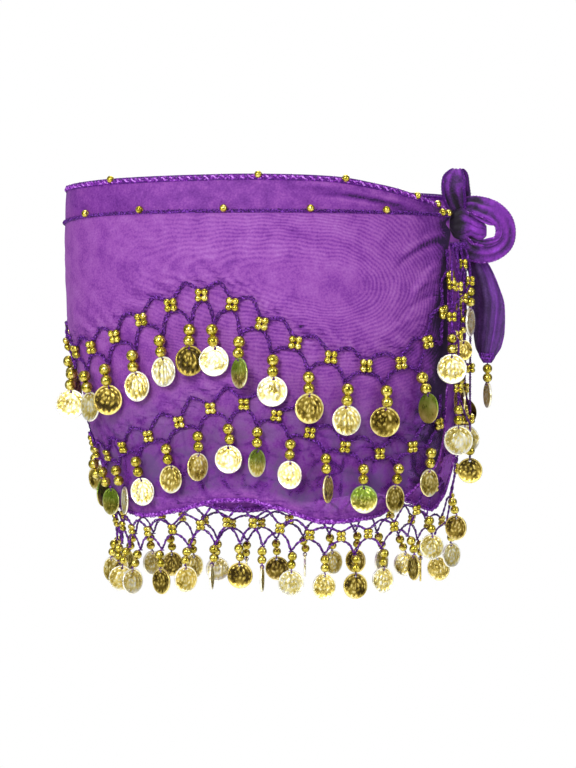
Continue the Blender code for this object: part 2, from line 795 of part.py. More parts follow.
def buildTail(material):
    curves = {
        name: SmoothCurve([(-row.up, getattr(row, name)) for row in tailSections])
        for name in ("right", "back", "halfWidth", "pleatDepth")
    }
    top, bottom = -tailSections[0].up, -tailSections[-1].up
    count = tailRowsPerSection * (len(tailSections) - 1)
    outer = []
    inner = []
    for i in range(count + 1):
        down = top + (bottom - top) * i / count
        front = []
        rear = []
        for j in range(tailColumns + 1):
            share = j / tailColumns
            pleat = curves["pleatDepth"](down) * math.sin(2.0 * math.pi * tailPleats * share)
            right = curves["right"](down) + (2.0 * share - 1.0) * curves["halfWidth"](down)
            back = curves["back"](down) + pleat
            front.append(knotOffset(right, -down, back - 0.5 * clothWall))
            rear.append(knotOffset(right, -down, back + 0.5 * clothWall))
        outer.append(front)
        inner.append(rear)
    return wallObject("tail", outer, inner, material)


def buildTailPendant(material):
    right = Vector((1.0, 0.0, 0.0))
    back = Vector((0.0, 1.0, 0.0))
    rings = []
    for row in tailPendantRings:
        centre = knotCentre + tailPendantTop - Vector((0.0, 0.0, row.down))
        rings.append(squareRing(centre, right, back, row.halfWidth, row.halfDepth, row.turn))
    return loftObject("tail_pendant", rings, material, smooth=False)


def strandLoops(strand):
    # Corner rings of one hanging strand: neck, bead cluster, two beads and a coin.
    right = Vector((1.0, 0.0, 0.0))
    back = Vector((0.0, 1.0, 0.0))
    radius = strand.coinRadius
    shoulder = radius * coinShoulder
    coin = (
        (radius, shoulder),
        (shoulder, radius),
        (-shoulder, radius),
        (-radius, shoulder),
    )
    plan = [(strandNeckUp, strandHalf, strandHalf, 0.0)]
    for row in strandRings:
        up = strand.coinUp + row.above
        if up < strandNeckUp:
            plan.append((up, row.size, row.size, row.turnShare * strand.turn))
    for above, width in coin:
        plan.append((strand.coinUp + above, width, coinHalfThickness, strand.turn))
    loops = []
    for up, halfWidth, halfDepth, turn in plan:
        centre = knotOffset(strand.right, up, strand.back)
        loops.append(squareRing(centre, right, back, halfWidth, halfDepth, turn))
    return loops


def buildGatheredLace(material):
    mesh = bmesh.new()
    columns = len(frontStrands)
    grids = []
    for up in (gatherTop, gatherBottom):
        grid = []
        for i in range(columns + 1):
            right = (i - 0.5 * columns) * gatherCell
            grid.append(addRing(mesh, [knotOffset(right, up, (j - 1) * gatherCell) for j in range(3)]))
        grids.append(grid)
    upper, lower = grids
    for i in range(columns):
        for j in (0, 2):
            mesh.faces.new((upper[i][j], upper[i + 1][j], lower[i + 1][j], lower[i][j]))
        for j in (0, 1):
            mesh.faces.new((upper[i][j], upper[i + 1][j], upper[i + 1][j + 1], upper[i][j + 1]))
    for i in (0, columns):
        for j in (0, 1):
            mesh.faces.new((upper[i][j], upper[i][j + 1], lower[i][j + 1], lower[i][j]))
    for j, strands in enumerate((frontStrands, rearStrands)):
        for i, strand in enumerate(strands):
            root = [lower[i + 1][j], lower[i + 1][j + 1], lower[i][j + 1], lower[i][j]]
            if strand:
                addPendant(mesh, root, strandLoops(strand))
            else:
                mesh.faces.new(root)
    return finishObject("gathered_lace", mesh, material, False)


# ---- the whole scarf ----

def clearScene():
    for old in list(bpy.data.objects):
        bpy.data.objects.remove(old)


def main():
    clearScene()
    chiffon = makeMaterial("violet_chiffon", (0.25, 0.05, 0.36), 0.7, 0.0)
    crochet = makeMaterial("violet_crochet_thread", (0.1, 0.02, 0.2), 0.6, 0.0)
    gilt = makeMaterial("gilt_coins_and_beads", (0.75, 0.52, 0.15), 0.3, 0.9)
    buildClothStretch("wrap_front", firstAngle, sideSeamAngle + seamHalfAngle, chiffon)
    buildClothStretch("wrap_back", sideSeamAngle - seamHalfAngle, lastAngle, chiffon)
    buildTopEdging(crochet)
    buildHemEdging(crochet)
    buildBeadedChain(crochet)
    buildLaceRow("coin_row_upper", upperRow, upperTurns, gilt)
    buildLaceRow("coin_row_middle", middleRow, middleTurns, gilt)
    buildLaceRow("coin_row_hem", hemRow, hemTurns, gilt)
    buildKnot(chiffon)
    buildBand("bow_ear", earPath, earAcross, chiffon)
    buildBand("bow_loop", loopPath, loopAcross, chiffon)
    buildTail(chiffon)
    buildTailPendant(gilt)
    buildGatheredLace(gilt)


main()
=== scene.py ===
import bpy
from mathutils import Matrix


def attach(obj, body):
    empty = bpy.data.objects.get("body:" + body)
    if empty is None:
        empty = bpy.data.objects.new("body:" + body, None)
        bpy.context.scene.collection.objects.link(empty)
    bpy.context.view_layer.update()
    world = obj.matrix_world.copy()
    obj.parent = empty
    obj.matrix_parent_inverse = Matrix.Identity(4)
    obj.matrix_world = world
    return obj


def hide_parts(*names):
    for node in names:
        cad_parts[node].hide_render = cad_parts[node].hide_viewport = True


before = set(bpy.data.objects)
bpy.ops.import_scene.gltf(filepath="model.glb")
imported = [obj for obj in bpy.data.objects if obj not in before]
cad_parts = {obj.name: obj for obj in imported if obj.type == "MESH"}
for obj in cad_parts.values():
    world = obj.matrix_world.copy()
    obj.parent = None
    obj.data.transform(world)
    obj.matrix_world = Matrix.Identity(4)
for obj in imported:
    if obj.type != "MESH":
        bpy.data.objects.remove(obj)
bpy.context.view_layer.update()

import math

import bpy
import numpy as np
from mathutils import Vector

# A belly dance hip scarf, worn. Tables are in millimetres and degrees: angle 0 is the front
# centre, positive towards the knot at the wearer's left hip, negative towards the back.

mm = 0.001
rng = np.random.default_rng(7)


class SmoothCurve:
    # passes through every point of a table and never swings past them
    def __init__(self, xs, ys):
        order = np.argsort(xs)
        self.xs = np.asarray(xs, float)[order]
        self.ys = np.asarray(ys, float)[order]
        rises = np.diff(self.ys) / np.diff(self.xs)
        self.slopes = np.concatenate([rises[:1], np.zeros(len(rises) - 1), rises[-1:]])
        before, after = rises[:-1], rises[1:]
        same = before * after > 0.0
        total = np.where(same, before + after, 1.0)
        self.slopes[1:-1] = np.where(same, 2.0 * before * after / total, 0.0)

    def __call__(self, x):
        x = np.clip(x, self.xs[0], self.xs[-1])
        i = np.clip(np.searchsorted(self.xs, x, side="left") - 1, 0, len(self.xs) - 2)
        step = self.xs[i + 1] - self.xs[i]
        t = (x - self.xs[i]) / step
        startPart = self.ys[i] * (1.0 + 2.0 * t) * (1.0 - t) ** 2
        endPart = self.ys[i + 1] * t * t * (3.0 - 2.0 * t)
        slopes = self.slopes[i] * t * (1.0 - t) ** 2 + self.slopes[i + 1] * t * t * (t - 1.0)
        return startPart + endPart + slopes * step


hipColumns = ("height", "left", "right", "front", "back")
hipSections = np.array([
    (40.0, 147.0, 147.0, 101.0, 101.0),
    (0.0, 150.0, 150.0, 104.0, 104.0),
    (-62.0, 149.0, 151.0, 108.0, 109.0),
    (-133.0, 136.0, 148.0, 107.0, 108.0),
    (-190.0, 121.0, 143.0, 100.0, 101.0),
    (-225.0, 110.0, 137.0, 95.0, 96.0),
    (-290.0, 103.0, 131.0, 91.0, 92.0),
])
hip = {
    name: SmoothCurve(hipSections[:, 0], hipSections[:, k])
    for k, name in enumerate(hipColumns) if k > 0
}

# lines down the cloth: their angles at the top edge and at the hem, and the heights of the top
# edge, of the upper and middle lace rows and of the hem
stationColumns = ("angle", "hemAngle", "top", "upper", "middle", "hem")
stations = np.array([
    (66.5, 66.5, 7.5, -2.0, -10.0, -19.0),
    (65.4, 66.0, 7.8, -6.0, -26.0, -50.0),
    (64.0, 66.6, 8.2, -12.0, -50.0, -90.0),
    (62.0, 67.0, 9.0, -20.0, -76.0, -124.0),
    (59.5, 67.0, 10.2, -33.0, -102.0, -154.0),
    (56.5, 65.5, 11.8, -50.0, -124.0, -175.0),
    (52.5, 60.5, 13.6, -69.0, -142.0, -188.0),
    (48.0, 52.5, 15.6, -84.0, -155.0, -200.5),
    (43.0, 44.5, 18.2, -96.0, -162.0, -213.0),
    (35.0, 35.0, 21.6, -102.0, -164.0, -220.5),
    (20.0, 20.0, 26.6, -95.0, -155.0, -223.2),
    (5.0, 5.0, 27.8, -77.0, -135.0, -213.0),
    (-6.0, -6.0, 28.0, -57.0, -126.0, -207.0),
    (-16.0, -16.0, 27.7, -48.5, -129.0, -207.5),
    (-32.0, -32.0, 27.2, -61.5, -144.5, -214.5),
    (-50.0, -50.0, 26.6, -81.0, -158.5, -219.5),
    (-70.0, -70.0, 25.6, -90.0, -167.0, -216.5),
    (-90.0, -90.0, 24.9, -81.0, -160.5, -212.0),
    (-106.0, -106.0, 25.0, -61.0, -143.0, -209.0),
    (-122.0, -122.0, 25.4, -50.0, -127.0, -207.0),
    (-147.0, -147.0, 26.6, -72.0, -145.0, -214.0),
    (-172.0, -172.0, 28.0, -101.0, -165.0, -223.0),
    (-196.0, -196.0, 27.8, -76.0, -146.0, -214.0),
    (-218.0, -218.0, 26.8, -51.0, -127.0, -207.0),
    (-236.0, -236.0, 24.2, -77.0, -147.0, -215.0),
    (-252.0, -252.0, 21.0, -101.0, -164.0, -219.0),
    (-260.0, -260.0, 18.2, -97.0, -162.0, -213.0),
    (-265.0, -264.5, 15.6, -84.0, -154.0, -202.0),
    (-269.5, -268.0, 13.6, -69.0, -140.0, -188.0),
    (-273.5, -270.5, 11.8, -50.0, -120.0, -170.0),
    (-276.5, -273.0, 10.2, -33.0, -98.0, -146.0),
    (-279.0, -276.0, 9.0, -20.0, -72.0, -116.0),
    (-281.0, -279.0, 8.2, -12.0, -48.0, -84.0),
    (-282.4, -281.5, 7.8, -6.0, -26.0, -48.0),
    (-283.5, -283.5, 7.5, -2.0, -10.0, -19.0),
])
wrap = {
    name: SmoothCurve(stations[:, 0], stations[:, k])
    for k, name in enumerate(stationColumns) if k > 0
}
freeStations = stations[9:26]  # the ones where the rows run freely round the hips
firstAngle, lastAngle = stations[0, 0], stations[-1, 0]
knotAngle = 71.5
sideSeamAngle = -90.0

drapeSizes = {
    "hemWaveDepth": 2.4, "hemWaveCount": 6, "hemWaveStart": -60.0, "hemHeight": -220.0,
    "knotFoldDepth": 2.2, "knotFoldReach": 48.0, "knotFoldCount": 7,
}

drawnMmPerDegree = 2.3  # the way round the hips is near enough this long for creases and rings

# soft creases in the worn chiffon: angle and height of both ends, half width, depth (out is
# positive) and how far the middle bows to the side
creases = [
    (10.0, 20.0, 50.0, 2.0, 2.6, 1.5, 2.5),
    (12.0, 15.0, 52.0, -4.0, 2.4, -1.2, 2.5),
    (63.0, -14.0, 42.0, -32.0, 2.6, 1.5, -4.0),
    (62.0, -20.0, 40.0, -40.0, 2.4, -1.3, -4.0),
    (62.0, -30.0, 46.0, -62.0, 3.0, 1.1, -3.0),
    (63.0, -33.0, 50.0, -42.0, 1.8, -0.9, -2.0),
    (61.0, -44.0, 46.0, -58.0, 1.9, 0.9, -2.5),
    (58.0, -58.0, 41.0, -76.0, 2.1, -0.9, -3.0),
    (55.0, -72.0, 36.0, -88.0, 2.2, 0.9, -2.5),
    (-4.0, -10.0, 34.0, -34.0, 6.0, 0.9, 9.0),
    (-34.0, -24.0, 12.0, -30.0, 7.0, 0.7, -8.0),
    (-62.0, -20.0, -30.0, -52.0, 7.0, 0.8, 6.0),
    (-78.0, -110.0, -50.0, -128.0, 4.0, 0.9, 4.0),
    (-36.0, -118.0, -6.0, -104.0, 5.0, 0.9, -5.0),
    (6.0, -108.0, 36.0, -130.0, 5.0, 1.0, 5.0),
    (-24.0, -178.0, 4.0, -168.0, 5.0, 1.0, -4.0),
    (14.0, -180.0, 40.0, -196.0, 5.0, 1.0, 4.0),
    (-66.0, -190.0, -44.0, -184.0, 5.0, -0.9, 3.0),
    (-96.0, 14.0, -124.0, -14.0, 5.0, 1.0, 4.0),
    (-110.0, -96.0, -138.0, -112.0, 5.0, 0.9, -4.0),
    (-150.0, 8.0, -186.0, -20.0, 6.0, 1.1, 6.0),
    (-168.0, -40.0, -200.0, -58.0, 6.0, 0.8, -5.0),
    (-150.0, -128.0, -176.0, -140.0, 5.0, 0.9, 4.0),
    (-196.0, -180.0, -220.0, -172.0, 5.0, 1.0, 4.0),
    (-226.0, 12.0, -270.0, -6.0, 3.0, 1.4, -3.0),
    (-230.0, 6.0, -272.0, -12.0, 2.8, -1.1, -3.0),
    (-240.0, -20.0, -274.0, -14.0, 3.4, 1.2, 4.0),
    (-236.0, -118.0, -256.0, -136.0, 5.0, 0.9, 4.0),
]

# depth and spacing of the small puckers at each sewn row
puckers = {"upper": (0.8, 13.1), "middle": (0.85, 13.3), "hem": (0.45, 10.7)}


def easeBetween(x, start, end):
    t = np.clip((x - start) / (end - start), 0.0, 1.0)
    return t * t * (3.0 - 2.0 * t)


def knotDistance(angle):
    return np.minimum(abs(angle - knotAngle), abs(angle - knotAngle + 360.0))


def drape(angle, height):
    d = drapeSizes
    grow = easeBetween(height, d["hemWaveStart"], d["hemHeight"])
    calm = easeBetween(knotDistance(angle), 8.0, 30.0)
    wave = d["hemWaveDepth"] * grow * calm * np.sin(np.radians(d["hemWaveCount"] * angle))
    across = 2.0 * knotDistance(angle)
    bearing = np.arctan2(height, across)
    fade = np.exp(-np.hypot(across, height) / d["knotFoldReach"])
    return wave + d["knotFoldDepth"] * fade * np.cos(d["knotFoldCount"] * bearing)


def softFolds(angle, height):
    # the listed creases and a light unevenness, all within about two millimetres
    out = np.zeros(np.broadcast(angle, height).shape)
    u, v = angle * drawnMmPerDegree, height
    for angleA, heightA, angleB, heightB, halfWidth, depth, bow in creases:
        ax, ay, bx, by = angleA * drawnMmPerDegree, heightA, angleB * drawnMmPerDegree, heightB
        length = math.hypot(bx - ax, by - ay)
        tx, ty = (bx - ax) / length, (by - ay) / length
        along = ((u - ax) * tx + (v - ay) * ty) / length
        side = (u - ax) * -ty + (v - ay) * tx - bow * 4.0 * along * (1.0 - along)
        ends = easeBetween(along, -0.15, 0.25) * (1.0 - easeBetween(along, 0.75, 1.15))
        out = out + depth * ends * np.exp(-(side / halfWidth) ** 2)
    for name, (pucker, pitch) in puckers.items():  # the cloth draws in where lace is sewn on
        away = height - wrap[name](angle) - 2.0
        near = np.exp(-(away / 9.0) ** 2) * easeBetween(knotDistance(angle), 8.0, 24.0)
        phase = 2.0 * np.pi * u / pitch + 0.42 * away + 1.4 * np.sin(u * 0.11)
        out = out + pucker * near * np.sin(phase)
    out = out + 0.34 * np.sin(u * 0.071 + 1.3 * np.sin(v * 0.047)) * np.sin(v * 0.083 + 0.9)
    out = out + 0.16 * np.sin(u * 0.23 + v * 0.31 + 1.7 * np.sin(v * 0.09 + u * 0.05))
    return out


def hipPoint(angle, height, out):
    angle, height, out = np.broadcast_arrays(*(np.asarray(v, float) for v in (angle, height, out)))
    sine, cosine = np.sin(np.radians(angle)), np.cos(np.radians(angle))
    across = np.where(sine > 0.0, hip["right"](height), hip["left"](height)) + out
    along = np.where(cosine > 0.0, hip["front"](height), hip["back"](height)) + out
    return np.stack([across * sine, -along * cosine, height], axis=-1)


def clothPoint(angle, height, out):
    return hipPoint(angle, height, drape(angle, height) + softFolds(angle, height) + out)


def stationAngle(station, height):
    top, hem = wrap["top"](station), wrap["hem"](station)
    return station + (wrap["hemAngle"](station) - station) * (top - height) / (top - hem)


def mmPerDegree(angle):
    across = hip["left"](0.0) * np.cos(np.radians(angle))
    along = hip["front"](0.0) * np.sin(np.radians(angle))
    return math.radians(1.0) * np.hypot(across, along)


def shifted(point, across, up):
    return (point[0] + across / float(mmPerDegree(point[0])), point[1] + up)


def mapStep(first, second):
    across = (second[0] - first[0]) * float(mmPerDegree(0.5 * (first[0] + second[0])))
    length = math.hypot(across, second[1] - first[1])
    return across / length, (second[1] - first[1]) / length


def evenStations(pitch):
    # stations from the knot round to the knot, evenly spaced over the lower part of the cloth
    angles = np.linspace(firstAngle, lastAngle, 1400)
    heights = 0.5 * (wrap["middle"](angles) + wrap["hem"](angles))
    points = hipPoint(stationAngle(angles, heights), heights, 0.0)
    lengths = np.concatenate([[0.0], np.cumsum(np.linalg.norm(np.diff(points, axis=0), axis=1))])
    count = int(lengths[-1] / pitch)
    return np.interp(np.linspace(0.0, lengths[-1], count + 1), lengths, angles)


# every builder below gives (points in mm, faces), and they are joined for each piece
def joined(parts):
    points, faces, start = [], [], 0
    for partPoints, partFaces in parts:
        points.append(np.asarray(partPoints, float))
        faces.extend(tuple(i + start for i in face) for face in partFaces)
        start += len(partPoints)
    return np.concatenate(points), faces


def makePiece(name, parts, material, replaces=(), values=None):
    # one object from many parts; values holds named numbers that its material reads, one for
    # each part or one for each point
    points, faces = joined(parts)
    data = bpy.data.meshes.new(name)
    data.from_pydata((points * mm).tolist(), [], faces)
    data.validate()
    data.shade_smooth()
    for key, perPart in (values or {}).items():
        perPoint = np.asarray(perPart, float).ravel()
        if len(perPoint) != len(points):
            perPoint = np.repeat(perPoint, [len(p) for p, _ in parts])
        layer = data.attributes.new(key, "FLOAT", "POINT")
        layer.data.foreach_set("value", perPoint)
    data.materials.append(material)
    piece = bpy.data.objects.new(name, data)
    bpy.context.collection.objects.link(piece)
    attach(piece, "root")
    if replaces:
        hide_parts(*replaces)
    print(f"{name}: {sum(len(f) - 2 for f in faces)} triangles")
    return piece


def gridFaces(columns, rows, closeRows=False):
    faces = []
    rowSteps = rows if closeRows else rows - 1
    for i in range(columns - 1):
        for j in range(rowSteps):
            k = (j + 1) % rows
            faces.append((i * rows + j, (i + 1) * rows + j, (i + 1) * rows + k, i * rows + k))
    return faces


def unit(v):
    return v / np.maximum(np.linalg.norm(v, axis=-1, keepdims=True), 1e-9)


def pathFrames(points, out):
    # along, out and side directions at each point of a path; out is where its outer face looks
    points = np.asarray(points, float)
    along = unit(np.gradient(points, axis=0))
    out = np.broadcast_to(np.asarray(out, float), points.shape)
    out = unit(out - along * np.sum(out * along, axis=1, keepdims=True))
    return along, out, np.cross(along, out)


def tube(points, radius, out, sides=5):
    points = np.asarray(points, float)
    _, outward, side = pathFrames(points, out)
    radius = np.broadcast_to(np.asarray(radius, float), (len(points),))[:, None, None]
    turn = 2.0 * np.pi * np.arange(sides) / sides
    ring = outward[:, None] * np.cos(turn)[:, None] + side[:, None] * np.sin(turn)[:, None]
    skin = (points[:, None] + ring * radius).reshape(-1, 3)
    faces = gridFaces(len(points), sides, True)
    last = (len(points) - 1) * sides
    faces.append(tuple(range(sides)))
    faces.append(tuple(range(last + sides - 1, last - 1, -1)))
    return skin, faces


def resampled(points, step, *others):
    # the same path with even steps, and what else was given along it
    points = np.asarray(points, float)
    lengths = np.concatenate([[0.0], np.cumsum(np.linalg.norm(np.diff(points, axis=0), axis=1))])
    count = max(4, int(lengths[-1] / step))
    at = np.linspace(0.0, lengths[-1], count + 1)
    even = [np.stack([np.interp(at, lengths, np.asarray(v)[:, k]) for k in range(3)], axis=1)
            for v in (points, *others)]
    return at, even


def rounded(points, each=6):
    # a Catmull-Rom curve through points of any dimension
    p = np.asarray(points, float)
    p = np.concatenate([[2 * p[0] - p[1]], p, [2 * p[-1] - p[-2]]])
    t = np.linspace(0.0, 1.0, each, endpoint=False)[:, None]
    parts = []
    for a, b, c, d in zip(p, p[1:], p[2:], p[3:]):
        parts.append(0.5 * (2 * b + (c - a) * t + (2 * a - 5 * b + 4 * c - d) * t ** 2
                            + (3 * b - a - 3 * c + d) * t ** 3))
    return np.concatenate(parts + [p[-2:-1]])


def twistedCord(points, out, thread, wind, pitch, plies=2, fuzz=0.0, sides=4):
    # plies wound round a path; fuzz opens and closes the winding as crochet stitches do
    at, (path, outs) = resampled(points, pitch / 6.5, np.broadcast_to(out, np.shape(points)))
    _, outward, side = pathFrames(path, outs)
    parts = []
    for k in range(plies):
        phase = 2.0 * np.pi * (at / pitch + k / plies)
        reach = wind * (1.0 + fuzz * np.sin(2.0 * np.pi * at / (pitch * 1.618)))
        ply = path + outward * (reach * np.cos(phase))[:, None] * 0.8
        ply = ply + side * (reach * np.sin(phase))[:, None]
        parts.append(tube(ply, thread, outs, sides))
    return parts


def crochetStitches(path, outs, thread, pitch, lap, halfHeight, halfDepth, lift=0.0):
    # one thread that loops over itself once a stitch, as along a crocheted edge
    at, (path, outs) = resampled(path, pitch / 8.0, outs)
    along, outward, side = pathFrames(path, outs)
    phase = 2.0 * np.pi * at / pitch
    uneven = 1.0 + 0.14 * np.sin(at * 0.61) + 0.1 * np.sin(at * 1.37 + 2.0)
    loop = path - along * (lap * np.sin(phase))[:, None]
    loop = loop + side * (halfHeight * uneven * np.cos(phase))[:, None]
    loop = loop + outward * (lift + halfDepth * np.sin(phase + 0.7))[:, None]
    return tube(loop, thread, outs, 4)


# turned sides, rows and thread hole, as a share of the radius, of each kind of bead
beadMesh = {"edge": (14, 8, 0.22), "cluster": (10, 6, 0.22), "pendant": (16, 9, 0.2)}


def bead(radius, kind):
    # a round bead with its thread hole along Z
    segments, rings, hole = beadMesh[kind]
    limit = math.acos(hole)
    lat = np.linspace(-limit, limit, rings)
    profile = [(radius * math.cos(a), radius * math.sin(a)) for a in lat]
    profile += [(radius * hole * 0.9, z) for z in (profile[-1][1] * 0.9, profile[0][1] * 0.9)]
    turn = 2.0 * np.pi * np.arange(segments) / segments
    points = [(r * c, r * s, z) for c, s in zip(np.cos(turn), np.sin(turn)) for r, z in profile]
    rows = len(profile)
    faces = []
    for i in range(segments):
        for j in range(rows):
            i2, j2 = (i + 1) % segments, (j + 1) % rows
            faces.append((i * rows + j, i2 * rows + j, i2 * rows + j2, i * rows + j2))
    return np.array(points), faces


def placed(part, centre, x, y, z, size=1.0):
    # a part with its own axes laid along x, y and z
    points, faces = part
    return np.asarray(centre) + size * (
        points[:, 0:1] * x + points[:, 1:2] * y + points[:, 2:3] * z
    ), faces


def coinRelief(x, y, kind):
    # a plain stamped pattern in a coin of radius 1: raised rim, a ring of dots, curled strokes
    r = np.hypot(x, y)
    turn = np.arctan2(y, x)
    rim = easeBetween(r, 0.88, 0.92)
    dots = easeBetween(np.cos(13.0 * turn + kind) - 1.6 * abs(r - 0.76) / 0.1, -0.3, 0.5)
    awayX, awayY = x - 0.16 * math.cos(1.9 * kind), y + 0.12 * math.sin(1.9 * kind + 1.0)
    reach, around = np.hypot(awayX, awayY), np.arctan2(awayY, awayX)
    curl = np.sin(19.0 * reach + 2.0 * around + 2.1 * kind)
    broken = np.sin(5.0 * around - 9.0 * reach + 2.0 * kind)
    strokes = easeBetween(curl + 0.8 * broken, 0.1, 0.9) * (1.0 - easeBetween(r, 0.56, 0.64))
    return np.clip(rim + dots * (1.0 - rim) + 0.95 * strokes, 0.0, 1.0)


coinMesh = {"seenRings": 15, "hiddenRings": 6, "sectors": 52}


def coin(radius, thickness, kind, free, holeRadius=0.9, holeInset=2.1):
    # a thin stamped disc in the XZ plane, with a real hole near its upper edge, and how far
    # each point is raised by the stamp; the back of one that is not free lies on the cloth
    sectors = coinMesh["sectors"]
    turn = 2.0 * np.pi * np.arange(sectors) / sectors
    holeAt = radius - holeInset
    sides, reliefs, faces, start = [], [], [], 0
    rims = {}
    backRings = coinMesh["seenRings"] if free else coinMesh["hiddenRings"]
    for sign, rings in ((-1.0, backRings), (1.0, coinMesh["seenRings"])):
        t = np.array([0.0, 0.03, *np.linspace(0.08, 0.95, rings - 4), 0.98, 1.0])[:, None]
        x = holeRadius * np.cos(turn) * (1 - t) + radius * np.cos(turn) * t
        y = (holeAt + holeRadius * np.sin(turn)) * (1 - t) + radius * np.sin(turn) * t
        relief = coinRelief(x / radius, y / radius, kind) * (rings == coinMesh["seenRings"])
        half = 0.5 * thickness * np.where(t > 0.99, 0.5, 1.0)
        raised = relief * radius * 0.036 * np.where(t > 0.99, 0.3, 1.0)
        sides.append(np.stack([x, sign * (half + raised), y], axis=-1).reshape(-1, 3))
        reliefs.append(relief.ravel())
        for i in range(rings - 1):
            for j in range(sectors):
                j2 = (j + 1) % sectors
                face = (start + i * sectors + j, start + i * sectors + j2,
                        start + (i + 1) * sectors + j2, start + (i + 1) * sectors + j)
                faces.append(face if sign < 0 else face[::-1])
        rims[sign] = (start, start + (rings - 1) * sectors)
        start += rings * sectors
    for inner, outer, flip in zip(rims[-1.0], rims[1.0], (True, False)):
        for j in range(sectors):
            j2 = (j + 1) % sectors
            face = (inner + j, inner + j2, outer + j2, outer + j)
            faces.append(face[::-1] if flip else face)
    return np.concatenate(sides), faces, np.concatenate(reliefs)


def toLinear(hexColour):
    # an sRGB hex colour as linear red, green, blue and alpha
    values = [int(hexColour[i:i + 2], 16) / 255.0 for i in (1, 3, 5)]
    return [v / 12.92 if v <= 0.04045 else ((v + 0.055) / 1.055) ** 2.4 for v in values] + [1.0]


def addNode(tree, kind, settings=()):
    # a value that is an output socket is linked, any other is set; stops are a ramp's colours
    made = tree.nodes.new(kind)
    for key, value in dict(settings).items():
        if key == "stops":
            elements = made.color_ramp.elements
            while len(elements) < len(value):
                elements.new(0.5)
            for element, (position, hexColour) in zip(elements, value):
                element.position = position
                element.color = toLinear(hexColour)
        elif isinstance(value, bpy.types.NodeSocket):
            tree.links.new(value, made.inputs[key])
        elif isinstance(key, str) and hasattr(made, key):
            setattr(made, key, value)
        else:
            made.inputs[key].default_value = value
    return made


def startMaterial(name):
    material = bpy.data.materials.new(name)
    material.use_nodes = True
    tree = material.node_tree
    shader = tree.nodes["Principled BSDF"]
    place = addNode(tree, "ShaderNodeTexCoord").outputs["Object"]
    return material, tree, shader, place


chiffonLook = {
    "stops": [(0.0, "#260A3E"), (0.22, "#6C2290"), (0.4, "#8A3EA8"), (0.5, "#9B50B3"),
              (0.7, "#AC69C0"), (1.0, "#CA98DA")],
    "weaveMm": 1.4,  # the real weave is 0.3 mm; drawn coarser so that it still shows
    "weaveDepth": 0.36, "moireDepth": 0.09, "paintedWrinkleShade": 0.34,
    "blotchMm": 15.0, "blotchDepth": 0.6,  # slow unevenness of the dye
    # the net sizes here are for the painted shadow of the far side's lace, seen through the cloth
    "farLaceShadowMm": 19.0, "farLaceShadowDepth": 0.2,  # one arch of the far side's lace, seen through the cloth
    "thin": "#74608E", "seeThrough": 0.08, "lowerSeeThrough": 0.4, "glow": 0.34,
}


